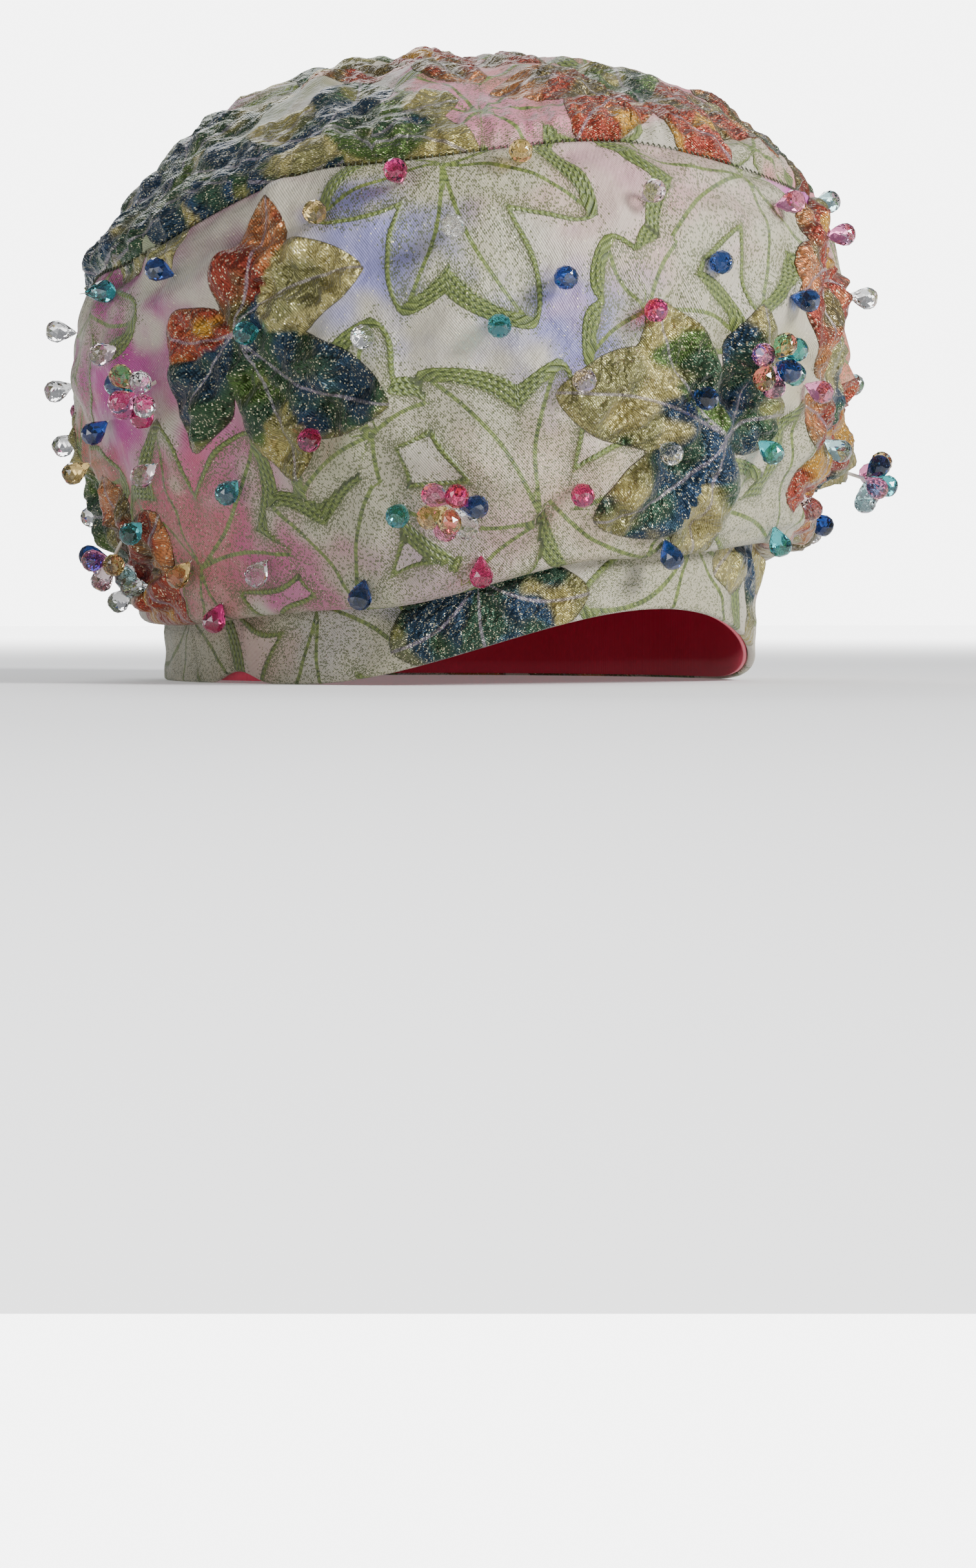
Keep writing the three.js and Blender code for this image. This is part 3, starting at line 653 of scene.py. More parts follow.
def brocade():
    material = bpy.data.materials.new("brocade")
    material.use_nodes = True
    tree = material.node_tree
    shader = tree.nodes["Principled BSDF"]
    cloth = add_node(tree, "ShaderNodeUVMap", uv_map="cloth").outputs[0]
    edge, vein, along = parts_of(tree, attribute(tree, "stitched")["Vector"])
    puff_edge, puff_vein, _ = parts_of(tree, attribute(tree, "puffed")["Vector"])
    border = attribute(tree, "border")["Fac"]
    twill = place_group(tree, TWILL, {"Cloth": cloth, "Pitch": TWILL_PITCH})
    chain = place_group(tree, CHAIN, {"Edge": edge, "Along": along, "Width": border,
                                      "Pitch": CHAIN_PITCH, "Row": CHAIN_ROW})
    vein_away = calculate(tree, "ABSOLUTE", vein)

    # Ground: twill, a green cast inside the leaves, and woven dots that crowd towards their edges
    ground = attribute(tree, "ground")["Color"]
    within = ramp_between(tree, edge, 0.3, -0.3)
    leaf_ground = mix_colour(tree, 1.0, ground, LEAF_SHADE, "MULTIPLY")
    ground = mix_colour(tree, within, ground, leaf_ground)
    shaded = mix_colour(tree, 1.0, ground, TWILL_SHADE, "MULTIPLY")
    ground = mix_colour(tree, twill["Shade"], shaded, ground)
    past_border = calculate(tree, "ADD", edge, border)
    crowding = ramp_between(tree, past_border, -DOT_BAND, 0.3)
    inner = times(tree, calculate(tree, "POWER", crowding, 1.7), 0.98)
    inner = calculate(tree, "MULTIPLY_ADD", ramp_between(tree, vein_away, 4.0, 0.6), 0.22, inner)
    inner = times(tree, inner, within)
    outer = times(tree, ramp_between(tree, edge, 3.4, 0.0), 0.38)
    amount = calculate(tree, "MAXIMUM", inner, outer)
    dots = place_group(tree, FLECKS, {"Cloth": cloth, "Spacing": DOT_SPACING,
                                      "Radius": DOT_RADIUS, "Amount": amount})
    dotted = times(tree, dots["Mask"], 0.85)
    ground = mix_colour(tree, dotted, ground, DOT_GREEN)

    # Stitched edges and veins
    # Painted light and shade on the chain stitch: one green thread, lighter on its raised loops and
    # darker in its hollows
    thread = mix_colour(tree, chain["Shade"], THREAD_PAINTED_SHADE, THREAD_PAINTED_LIT)
    line = times(tree, ramp_between(tree, vein_away, 0.75, 0.4), within)
    line = times(tree, line, ramp_between(tree, along, -0.5, 0.5))
    green = calculate(tree, "MAXIMUM", chain["Mask"], line)
    colour = mix_colour(tree, green, ground, thread)

    # Puffed leaves, with lilac veins and a dark line of painted shade round each, where the puffed
    # cloth drops to the ground
    puff = ramp_between(tree, puff_edge, 0.15, -0.15)
    metal = attribute(tree, "metal")["Color"]
    # Painted sheen: the metal cloth's colour brightened on the twill's raised yarns
    painted_sheen = mix_colour(tree, 1.0, metal, METAL_PAINTED_SHEEN, "MULTIPLY")
    metal = mix_colour(tree, twill["Shade"], metal, painted_sheen)
    puff_line = ramp_between(tree, calculate(tree, "ABSOLUTE", puff_vein), 0.6, 0.2)
    metal = mix_colour(tree, times(tree, puff_line, 0.55), metal, VEIN_LILAC)
    # Painted shade: a dark line just inside each puffed leaf's edge, where its relief drops to the
    # ground
    rim_away = calculate(tree, "ABSOLUTE", calculate(tree, "ADD", puff_edge, 0.35))
    rim = times(tree, ramp_between(tree, rim_away, 0.6, 0.25), 0.4)
    metal = mix_colour(tree, rim, metal, PUFF_EDGE_PAINTED_SHADE)
    colour = mix_colour(tree, puff, colour, metal)

    # Glints of metal yarn, thick on the puffed cloth and thin elsewhere
    glint_amount = calculate(tree, "MULTIPLY_ADD", puff, 0.32, 0.05)
    glints = place_group(tree, FLECKS, {"Cloth": cloth, "Spacing": GLINT_SPACING,
                                        "Radius": GLINT_RADIUS, "Amount": glint_amount})
    strength = calculate(tree, "POWER", glints["Chance"], 2.5)
    bright = times(tree, glints["Mask"], strength)
    colour = mix_colour(tree, bright, colour, GLINT)
    tree.links.new(colour, shader.inputs["Base Color"])
    gilt = calculate(tree, "MAXIMUM", bright, times(tree, puff, 0.7))
    tree.links.new(gilt, shader.inputs["Metallic"])
    tree.links.new(calculate(tree, "MULTIPLY_ADD", puff, -0.08, 0.46), shader.inputs["Roughness"])
    creases = add_node(tree, "ShaderNodeTexNoise", {"Vector": cloth, "Scale": 0.34, "Detail": 2.5})
    depth = calculate(tree, "MULTIPLY_ADD", puff, 2.6, 1.0)
    height = times(tree, creases.outputs[0], depth)
    height = calculate(tree, "MULTIPLY_ADD", twill["Height"], 0.05, height)
    height = calculate(tree, "MULTIPLY_ADD", chain["Height"], 0.32, height)
    height = calculate(tree, "MULTIPLY_ADD", bright, 0.12, height)
    bump = add_node(tree, "ShaderNodeBump", {"Height": height, "Strength": 0.9, "Distance": MM})
    tree.links.new(bump.outputs[0], shader.inputs["Normal"])
    shader.inputs["Sheen Weight"].default_value = 0.12
    shader.inputs["Sheen Roughness"].default_value = 0.4
    return material


BROCADE = brocade()


def brocade_shell(name, outer, relief, back, leaves, clouds, round_length, edge=()):
    """A closed wall of brocade, its outer face moved out by its relief."""
    moved = outer + facing_of(outer) * relief[..., None]
    body = closed_shell(name, np.concatenate([*edge, moved, back]))
    weave_in(body, np.concatenate([*edge, outer, back]), leaves, clouds, round_length)
    body.data.materials.append(BROCADE)
    return body


ROUND_STEPS = 600
EDGE_ROWS = 3
POLE_ROWS = 12
azimuths = np.arange(ROUND_STEPS)[None, :] * 360 / ROUND_STEPS - 180
wide_share = np.linspace(0, 1, 60)[:, None]
shoulder_share = np.linspace(0, 1, 56)[1:, None]
inner_share = np.linspace(0, 1, 8)[:, None]
lip_turn = np.radians(np.linspace(0, 180, 11))[:-1, None]

widest_height = HAT_HEIGHT * form_at(azimuths, "widest")
fold_height = HAT_HEIGHT * form_at(azimuths, "fold")
drape_top = level_at(azimuths, HAT_HEIGHT * form_at(azimuths, "seam") - CLEARANCE)
roll_levels = FOLD_ROLL / (widest_height - fold_height)
levels = np.vstack([(roll_levels - 1) * (1 - wide_share), drape_top * shoulder_share])
outer = form_point(azimuths, levels, 0, drape_relief(azimuths, levels))
inner_levels = drape_top * (1 - inner_share) + (2 * roll_levels - 1) * inner_share
inner = form_point(azimuths, inner_levels, DRAPE_WALL, drape_relief(azimuths, inner_levels))
lip_share = (1 - np.cos(lip_turn)) / 2
band_face = round_rim(azimuths, CLEARANCE, 0)
lip = band_face * (1 - lip_share[..., None]) + outer[:1] * lip_share[..., None]
lip[..., 2] = fold_height + FOLD_ROLL * (1 - np.sin(lip_turn))

DRAPE_ROUND = 670
leaves = (STITCHED_LEAVES, PUFFED_LEAVES)
row = np.arange(len(outer))[:, None]
fade = np.clip(row / EDGE_ROWS, 0, 1) * np.clip((len(outer) - 1 - row) / EDGE_ROWS, 0, 1)
relief = brocade_relief(outer, leaves) * fade
drape = brocade_shell("drape_cloth", outer, relief, inner, leaves, DRAPE_CLOUDS, DRAPE_ROUND, [lip])
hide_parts("side_drape")
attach(drape, "root")


# Crown
# The padded dome over the top, of the same brocade. It is gathered into the seam, so it swells
# beside it, and it is quilted and puckered more than the drape.
CROWN_WALL = 2.6
PUCKER_COUNT = 13
PUCKER_DEPTH = 1.5
PUCKER_TWIST = 290
PUCKER_SPREAD = 1.6
PADDING = 0.45
QUILTING = 1
GATHERING = 0.55
GATHER_COUNT = 95
GATHER_REACH = 12
CROWN_ROUND = 480
CROWN_STITCHED = [
    (-24, 0.44, 0, ((-80, 32), (86, 44), (24, 36), (-130, 30), (-38, 34), (140, 30))),
    (30, 0.36, 0, ((-70, 30), (60, 34), (-10, 30), (120, 26))),
    (-104, 0.5, 30, PALM),
    (100, 0.42, -60, PALM),
    (-150, 0.42, 20, PALM),
    (160, 0.66, 100, PALM),
    (40, 0.8, 10, PALM),
    (128, 0.17, 90, PALM),
    (-172, 0.2, 60, PALM),
    (-118, 0.2, -20, PALM),
    (180, 0.86, 0, PALM),
]
CROWN_PUFFED = [
    (-80, 0.38, 0, ((84, 46, "pine"), (-96, 44, "navy"), (-48, 44, "pine"), (22, 40, "moss"),
                    (140, 24, "navy"), (-140, 26, "pine"))),
    (-96, 0.19, 0, ((70, 32, "navy"), (20, 34, "pine"), (-80, 32, "pine"))),
    (-80, 0.24, 0, ((72, 32, "pine"), (14, 30, "moss"), (-96, 30, "gilt"))),
    (-62, 0.3, 0, ((76, 34, "gilt"), (24, 30, "moss"), (-100, 30, "navy"))),
    (-44, 0.34, 0, ((84, 34, "moss"), (40, 26, "pine"), (-102, 32, "pine"))),
    (-50, 0.4, 0, ((62, 36, "moss"), (-76, 30, "gilt"), (-10, 34, "pine"), (118, 26, "moss"))),
    (12, 0.5, 0, ((-70, 42, "rust"), (92, 50, "rust"), (-116, 32, "ember"), (22, 40, "moss"),
                  (136, 28, "ember"))),
    (-34, 0.7, 0, ((76, 36, "rust"), (-92, 40, "rust"), (0, 34, "ember"), (140, 24, "rust"))),
    (48, 0.4, 0, ((104, 44, "moss"), (-58, 36, "gilt"), (24, 38, "rust"), (160, 26, "rust"))),
    (-125, 0.28, 80, coloured(PALM, "moss")),
    (130, 0.34, 30, coloured(PALM, "pine")),
    (176, 0.34, -50, coloured(PALM, "rust")),
    (-165, 0.72, 170, coloured(PALM, "pine")),
    (88, 0.74, 100, coloured(PALM, "rust")),
    (-100, 0.8, 40, coloured(PALM, "moss")),
    (104, 0.22, 200, coloured(PALM, "gilt")),
    (153, 0.2, -100, coloured(PALM, "moss")),
    (-145, 0.22, 10, coloured(PALM, "rust")),
]
CROWN_CLOUDS = [
    (-22, 0.5, 40, 0.9, (0.56, 0.16, 0.28)),
    (0, 0.7, 34, 0.8, (0.58, 0.20, 0.18)),
    (-78, 0.4, 46, 0.9, (0.20, 0.24, 0.12)),
    (60, 0.5, 46, 0.9, (0.54, 0.16, 0.20)),
    (110, 0.6, 36, 0.8, (0.20, 0.18, 0.38)),
    (130, 0.16, 40, 0.8, (0.46, 0.12, 0.22)),
    (160, 0.5, 40, 0.9, (0.46, 0.11, 0.26)),
    (-150, 0.6, 40, 0.8, (0.48, 0.15, 0.12)),
    (-110, 0.5, 36, 0.8, (0.40, 0.10, 0.28)),
]


def crown_relief(azimuth, level):
    height = form_point(azimuth, level)[..., 2]
    beside = near_seam(azimuth, height, SEAM_REACH)
    groove = near_seam(azimuth, height, SEAM_REACH / 3)
    ripple = np.sin(np.radians(PUCKER_COUNT * azimuth + PUCKER_TWIST * level))
    spread = np.sin(math.pi * np.minimum(1, (1 - level) * PUCKER_SPREAD)) * (1 - beside)
    return SEAM_SWELL * (beside - groove) - SEAM_GROOVE * groove + PUCKER_DEPTH * ripple * spread


crown_foot = level_at(azimuths, HAT_HEIGHT * form_at(azimuths, "seam") + CLEARANCE)
crown_share = np.linspace(0, 1, 110)[:, None]
levels = crown_foot + (1 - crown_foot) * crown_share
outer = form_point(azimuths, levels, 0, crown_relief(azimuths, levels))
inner_levels = 1 - (1 - crown_foot) * inner_share
inner = form_point(azimuths, inner_levels, CROWN_WALL, crown_relief(azimuths, inner_levels))
leaves = (CROWN_STITCHED, CROWN_PUFFED)
quilted = 0.4 - np.abs(soft_noise(outer, 9, 23))
gathers = np.sin(np.radians(azimuths * GATHER_COUNT) + 3 * quilted)
gathered = near_seam(azimuths, outer[..., 2], GATHER_REACH) * gathers
row = np.arange(len(outer))[:, None]
fade = np.clip(row / EDGE_ROWS, 0, 1) * np.clip((len(outer) - 1 - row) / POLE_ROWS, 0, 1)
relief = PADDING * brocade_relief(outer, leaves) + QUILTING * quilted + GATHERING * gathered
relief = relief * fade
crown = brocade_shell("crown_cloth", outer, relief, inner, leaves, CROWN_CLOUDS, CROWN_ROUND)
close_poles(crown)
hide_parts("crown_top")
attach(crown, "root")


# Head band
# A low band of the same brocade round the head opening, turned over at its edge and tucked up
# behind the drape's rolled fold. It is nicked up a little beside the wearer's right ear.
BAND_WALL = 2.2
BAND_TUCK = 14
BAND_HEM = 0.9
BAND_RELIEF = 0.5
BAND_ROUND = 566
BROW_LIFT = 20
BROW_AZIMUTH = 12
BROW_HALF_ANGLE = 72
NICK_AZIMUTH = -74
NICK_HALF_ANGLE = 9
NICK_RISE = 3.2
BAND_STITCHED = [
    (20, -1, 200, BROAD),
    (-55, -1, 170, BROAD),
    (-90, -1, 190, PALM),
    (70, -1, 180, PALM),
    (110, -1, 160, PALM),
    (150, -1, 190, PALM),
    (-170, -1, 170, PALM),
    (-120, -1, 200, PALM),
]
BAND_PUFFED = [
    (-25, -1, 180, coloured(SMALL, "navy", "pine")),
    (45, -1, 180, coloured(SMALL, "navy", "gilt", "gilt", "moss", "gilt")),
    (130, -1, 180, coloured(PALM, "rust")),
    (-145, -1, 180, coloured(PALM, "pine")),
]
BAND_CLOUDS = [
    (-34, -1, 18, 0.8, (0.30, 0.26, 0.42)),
    (-52, -1, 22, 0.5, (0.40, 0.36, 0.40)),
    (-72, -1, 20, 0.6, (0.50, 0.30, 0.26)),
    (60, -1, 20, 0.8, (0.56, 0.20, 0.40)),
    (100, -1, 30, 0.7, (0.52, 0.24, 0.36)),
    (160, -1, 30, 0.7, (0.36, 0.32, 0.48)),
    (-140, -1, 30, 0.7, (0.54, 0.22, 0.34)),
]


def hump(azimuth, centre, half_angle):
    """1 at the centre of a stretch, falling smoothly to 0 at its ends."""
    away = np.minimum(np.abs(wrapped(azimuth - centre)) / half_angle, 1)
    return np.cos(away * math.pi / 2) ** 2


brow_height = BROW_LIFT * hump(azimuths, BROW_AZIMUTH, BROW_HALF_ANGLE)
band_edge = brow_height + NICK_RISE * hump(azimuths, NICK_AZIMUTH, NICK_HALF_ANGLE)
band_top = fold_height + BAND_TUCK
hem_turn = np.radians(np.linspace(180, 0, 9))[:, None]
hem_out = (np.cos(hem_turn) - 1) * BAND_WALL / 2
hem = round_rim(azimuths, hem_out, band_edge + BAND_HEM * (1 - np.sin(hem_turn)))
face_share = np.linspace(0, 1, 36)[1:, None]
face_height = (band_edge + BAND_HEM) * (1 - face_share) + band_top * face_share
back_share = np.linspace(0, 1, 7)[:-1, None]
back_height = band_top * (1 - back_share) + (band_edge + BAND_HEM) * back_share
outer = np.concatenate([hem, round_rim(azimuths, 0, face_height)])
back = round_rim(azimuths, -BAND_WALL, back_height)
leaves = (BAND_STITCHED, BAND_PUFFED)
above_edge = np.clip((outer[..., 2] - band_edge) / 4 - 0.3, 0, 1)
below_fold = np.clip((fold_height - 1 - outer[..., 2]) / 2, 0, 1)
relief = brocade_relief(outer, leaves) * BAND_RELIEF * above_edge * below_fold
band = brocade_shell("band_cloth", outer, relief, back, leaves, BAND_CLOUDS, BAND_ROUND)
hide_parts("head_band")
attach(band, "root")


# Lining
# A crimson satin lining sewn in behind the head band. It closes to a dome under the crown, and
# its edge shows where the band is nicked up.
LINING_WALL = 1
LINING_EDGE = 0.7
LINING_SHOULDER = 0.8
LINING_ROUND = 0.9
CRIMSON = (0.68, 0.04, 0.10)
CRIMSON_DARK = (0.46, 0.012, 0.045)


def lining_face(inward):
    out = -BAND_WALL - CLEARANCE - inward
    shoulder = widest_height * LINING_SHOULDER
    upright = np.linspace(0, 1, 14)[:-1, None]
    low = brow_height + LINING_EDGE
    side = round_rim(azimuths, out, low + (shoulder - low) * upright)
    angle = np.radians(np.linspace(0, 90, 33))[:, None]
    top = HAT_HEIGHT - CROWN_WALL - SEAM_SWELL - LINING_EDGE - inward
    height = shoulder + (top - shoulder) * np.sin(angle) ** LINING_ROUND
    inset = np.maximum(np.cos(angle), 1e-9) ** LINING_ROUND
    return np.concatenate([side, round_rim(azimuths, out, height, inset)])


def clouded(name, light, dark, scale, roughness, detail=2.0):
    """A material whose colour drifts between two tints from place to place, and its shader."""
    material = bpy.data.materials.new(name)
    material.use_nodes = True
    tree = material.node_tree
    shader = tree.nodes["Principled BSDF"]
    place = add_node(tree, "ShaderNodeTexCoord").outputs["Object"]
    cloud = add_node(tree, "ShaderNodeTexNoise", {"Vector": place, "Scale": scale, "Detail": detail})
    tint = mix_colour(tree, cloud.outputs[0], (*dark, 1), (*light, 1))
    tree.links.new(tint, shader.inputs["Base Color"])
    shader.inputs["Roughness"].default_value = roughness
    return material, shader


def satin():
    material, shader = clouded("crimson_satin", CRIMSON, CRIMSON_DARK, 30.0, 0.38, 3.0)
    tree = material.node_tree
    place = add_node(tree, "ShaderNodeTexCoord").outputs["Object"]
    in_mm = add_node(tree, "ShaderNodeMapping", {"Vector": place, "Scale": (1 / MM,) * 3})
    twill = place_group(tree, TWILL, {"Cloth": in_mm.outputs[0], "Pitch": 0.5})
    sockets = {"Height": twill["Height"], "Strength": 0.3, "Distance": 0.05 * MM}
    tree.links.new(add_node(tree, "ShaderNodeBump", sockets).outputs[0], shader.inputs["Normal"])
    return material


lining_rings = np.concatenate([lining_face(0), lining_face(LINING_WALL)[::-1]])[:, ::2]
lining = closed_shell("lining_cloth", lining_rings)
close_poles(lining)
lining.data.materials.append(satin())
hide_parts("lining")
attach(lining, "root")


# Gathering stitches
# Dark thread stitches across the groove of the seam, which draw the crown in to the drape's edge.
STITCH_COUNT = 330
STITCH_LENGTH = 1.7
STITCH_RADIUS = 0.22


def scatter_tree(name):
    """Puts a copy of an object at each point, its +Z turned the way the point faces."""
    tree = bpy.data.node_groups.new(name, "GeometryNodeTree")
    for title, kind in (("Geometry", "NodeSocketGeometry"), ("Piece", "NodeSocketObject"),
                        ("Size", "NodeSocketFloat"), ("Finish", "NodeSocketMaterial")):
        tree.interface.new_socket(title, in_out="INPUT", socket_type=kind)
    tree.interface.new_socket("Geometry", in_out="OUTPUT", socket_type="NodeSocketGeometry")
    given = tree.nodes.new("NodeGroupInput").outputs
    points = add_node(tree, "GeometryNodeMeshToPoints", {"Mesh": given["Geometry"]})
    piece = add_node(tree, "GeometryNodeObjectInfo", {"Object": given["Piece"]})
    facing = add_node(tree, "GeometryNodeInputNamedAttribute", {"Name": "facing"},
                      data_type="FLOAT_VECTOR")
    turn = add_node(tree, "FunctionNodeAlignRotationToVector",
                    {"Vector": facing.outputs["Attribute"]}, axis="Z")
    copies = add_node(tree, "GeometryNodeInstanceOnPoints",
                      {"Points": points.outputs[0], "Instance": piece.outputs["Geometry"],
                       "Rotation": turn.outputs[0], "Scale": given["Size"]})
    real = add_node(tree, "GeometryNodeRealizeInstances", {0: copies.outputs[0]})
    finish = add_node(tree, "GeometryNodeSetMaterial",
                      {"Geometry": real.outputs[0], "Material": given["Finish"]})
    end = tree.nodes.new("NodeGroupOutput")
    tree.links.new(finish.outputs[0], end.inputs["Geometry"])
    return tree


SCATTER = scatter_tree("sewn_on")


def sewn_on(name, places, facings, piece, finish):
    """A plain mesh of copies of a piece, one at each place, each facing its own way."""
    mesh = bpy.data.meshes.new(name)
    mesh.from_pydata([tuple(place) for place in places], [], [])
    body = placed(name, mesh)
    store(body, "facing", "FLOAT_VECTOR", np.array(facings))
    modifier = body.modifiers.new("copies", "NODES")
    modifier.node_group = SCATTER
    inputs = [item for item in SCATTER.interface.items_tree if item.in_out == "INPUT"]
    identifier = {item.name: item.identifier for item in inputs}
    modifier[identifier["Piece"]] = piece
    modifier[identifier["Size"]] = 1.0
    modifier[identifier["Finish"]] = finish
    evaluated = body.evaluated_get(bpy.context.evaluated_depsgraph_get())
    plain = bpy.data.meshes.new_from_object(evaluated)
    body.modifiers.clear()
    body.data = plain
    return body


def thread_material(name, colour, roughness):
    darker = [0.7 * value for value in colour]
    return clouded(name, colour, darker, 700.0, roughness)[0]


def stitch_piece():
    shape = bmesh.new()
    bmesh.ops.create_icosphere(shape, subdivisions=1, radius=MM)
    long_way = (STITCH_RADIUS, STITCH_RADIUS, STITCH_LENGTH / 2)
    bmesh.ops.scale(shape, vec=long_way, verts=shape.verts)
    mesh = bpy.data.meshes.new("stitch")
    shape.to_mesh(mesh)
    shape.free()
    return bpy.data.objects.new("stitch", mesh)


round_seam = np.arange(STITCH_COUNT) * 360 / STITCH_COUNT - 180
seam_level = level_at(round_seam, HAT_HEIGHT * form_at(round_seam, "seam"))
groove_floor = crown_relief(round_seam, seam_level) + STITCH_RADIUS
across_seam = form_point(round_seam, seam_level + 0.01) - form_point(round_seam, seam_level - 0.01)
across_seam = across_seam / np.linalg.norm(across_seam, axis=-1, keepdims=True)
stitch_places = form_point(round_seam, seam_level, 0, groove_floor) * MM + CENTRE
stitch_thread = thread_material("gathering_thread", (0.05, 0.06, 0.03), 0.6)
stitches = sewn_on("gathering_stitches", stitch_places, across_seam, stitch_piece(), stitch_thread)
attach(stitches, "root")


# Glass drops
# Faceted briolettes of coloured glass, about 6 mm thick, drilled through the tip and sewn to the
# cloth. They stand out from it with the round faceted end outwards.
GLASS_COLOURS = {
    "clear": (0.96, 0.96, 0.95),
    "blush": (0.97, 0.78, 0.80),
    "pink": (0.95, 0.30, 0.56),
    "magenta": (0.80, 0.05, 0.26),
    "amber": (0.86, 0.62, 0.24),
    "teal": (0.08, 0.50, 0.54),
    "aqua": (0.55, 0.84, 0.86),
    "navy": (0.02, 0.07, 0.30),
}
DROP_SIDES = 10
DROP_LENGTH = 8.4
DROP_RADIUS = 3.15

# Rings of a drop: share of its length, share of its radius
DROP_RINGS = [(0.04, 0.16), (0.2, 0.42), (0.4, 0.76), (0.62, 1), (0.8, 0.95), (0.94, 0.7), (1, 0.4)]

# More drops, too many for nodes of their own: azimuth, rise, lean and colour
MORE_DROPS = [
    (-100, 0.35, 20, "amber"),
    (-85, 0.25, 30, "teal"),
    (55, 0.75, 14, "aqua"),
    (62, 0.62, 14, "clear"),
    (71, 0.5, 16, "aqua"),
    (50, 0.3, 24, "blush"),
    (80, 0.25, 36, "clear"),
    (83, 0.4, 20, "blush"),
    (-95, 0.15, 30, "clear"),
    (-113, 0.15, 30, "clear"),
    (-123, 0.3, 20, "clear"),
    (96, 0.5, 16, "navy"),
    (104, 0.3, 20, "pink"),
    (116, 0.42, 14, "teal"),
    (126, 0.22, 30, "clear"),
    (150, 0.4, 16, "magenta"),
    (152, 0.18, 30, "amber"),
    (166, 0.3, 20, "blush"),
    (178, 0.38, 14, "navy"),
    (-172, 0.2, 30, "pink"),
    (-166, 0.38, 16, "clear"),
    (-138, 0.42, 14, "amber"),
    (-132, 0.2, 30, "navy"),
    (-122, 0.46, 16, "pink"),
]


def glass(name, colour):
    deeper = [0.85 * value for value in colour]
    material, shader = clouded(f"glass_{name}", colour, deeper, 220.0, 0.02)
    shader.inputs["Transmission Weight"].default_value = 1
    shader.inputs["IOR"].default_value = 1.54
    return material


def briolette():
    """A drop along +Z from its tip at the origin, with facets staggered from ring to ring."""
    shape = bmesh.new()
    tip = shape.verts.new((0, 0, 0))
    table = shape.verts.new((0, 0, DROP_LENGTH * MM))
    rings = []
    for number, (along, thick) in enumerate(DROP_RINGS):
        ring = []
        for side in range(DROP_SIDES):
            turn = 2 * math.pi * (side + number % 2 / 2) / DROP_SIDES
            place = Vector((math.cos(turn), math.sin(turn), 0)) * thick * DROP_RADIUS * MM
            place.z = along * DROP_LENGTH * MM
            ring.append(shape.verts.new(place))
        rings.append(ring)
    for side in range(DROP_SIDES):
        after = (side + 1) % DROP_SIDES
        shape.faces.new((tip, rings[0][after], rings[0][side]))
        shape.faces.new((table, rings[-1][side], rings[-1][after]))
        for number, (low, high) in enumerate(zip(rings, rings[1:])):
            if number % 2 == 0:
                shape.faces.new((low[side], low[after], high[side]))
                shape.faces.new((low[after], high[after], high[side]))
            else:
                shape.faces.new((low[side], high[after], high[side]))
                shape.faces.new((low[side], low[after], high[after]))
    bmesh.ops.recalc_face_normals(shape, faces=shape.faces)
    mesh = bpy.data.meshes.new("briolette")
    shape.to_mesh(mesh)
    shape.free()
    return bpy.data.objects.new("briolette", mesh)


def surface_of(*bodies):
    whole = bmesh.new()
    for body in bodies:
        whole.from_mesh(body.data)
    tree = BVHTree.FromBMesh(whole)
    whole.free()
    return tree


def cloth_beside(surface, azimuth, height):
    """The outermost cloth level with a height in millimetres, and the way it faces, in metres."""
    axis = Vector((CENTRE[0], CENTRE[1], height * MM))
    inward = (axis - Vector(round_rim(azimuth, 0, height) * MM + CENTRE)).normalized()
    place, facing, _, _ = surface.ray_cast(axis - inward * 2 * RIM_HALF_LENGTH * MM, inward)
    if facing.dot(inward) > 0:
        facing = -facing
    return place, facing


def leant(facing, lean):
    """The direction of a drop that leans down from the cloth's facing."""
    sideways = facing.cross(Vector((0, 0, -1))).normalized()
    return Matrix.Rotation(math.radians(lean), 3, sideways) @ facing


BRIOLETTE = briolette()
GLASSES = {name: glass(name, colour) for name, colour in GLASS_COLOURS.items()}
SLOTS = {piece["node"]: piece["material_slot"] for piece in frame["record"]["subparts"]}
dressed = surface_of(drape, crown)
more_stances = {}
for azimuth, rise, lean, colour in MORE_DROPS:
    place, facing = cloth_beside(dressed, azimuth, rise * HAT_HEIGHT)
    stance = (place + facing * CLEARANCE * MM, leant(facing, lean))
    more_stances.setdefault(colour, []).append(stance)

for colour in GLASS_COLOURS:
    names = [name for name in CAD_DROPS if SLOTS[name] == f"glass_{colour}"]
    stances = [CAD_DROPS[name] for name in names] + more_stances.get(colour, [])
    tips, ways = zip(*stances)
    drops = sewn_on(f"drops_{colour}", tips, ways, BRIOLETTE, GLASSES[colour])
    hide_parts(*names)
    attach(drops, "root")


# Clusters of drops
# Bunches of seven drops on one stalk of wound threads, their tips meeting at its head. The first
# colour is of the drop in the middle, and the others go round it.
# Azimuth, rise, stalk as a share of a drop's length, lean, turn of the ring, and colours
CLUSTERS = [
    (-29, 0.29, 0.4, 22, 10, "amber navy magenta pink amber pink clear"),
    (-75, 0.46, 0.35, 26, 30, "pink clear amber teal pink magenta clear"),
    (-98, 0.23, 0.4, 30, 0, "blush amber pink navy pink clear aqua"),
    (21, 0.5, 0.35, 20, 40, "navy teal amber pink amber pink teal"),
    (66, 0.35, 0.9, -16, 20, "teal pink amber navy pink aqua clear"),
    (138, 0.34, 0.4, 24, 15, "amber pink teal clear magenta navy blush"),
    (-150, 0.33, 0.4, 26, 50, "teal magenta amber clear pink navy blush"),
]
HUB_RADIUS = 2.3
HUB_SEAT = 1.3
HUB_CLEARANCE = 1.3
RING_COUNT = 6
RING_TILT = 60
RING_STAGGER = 12

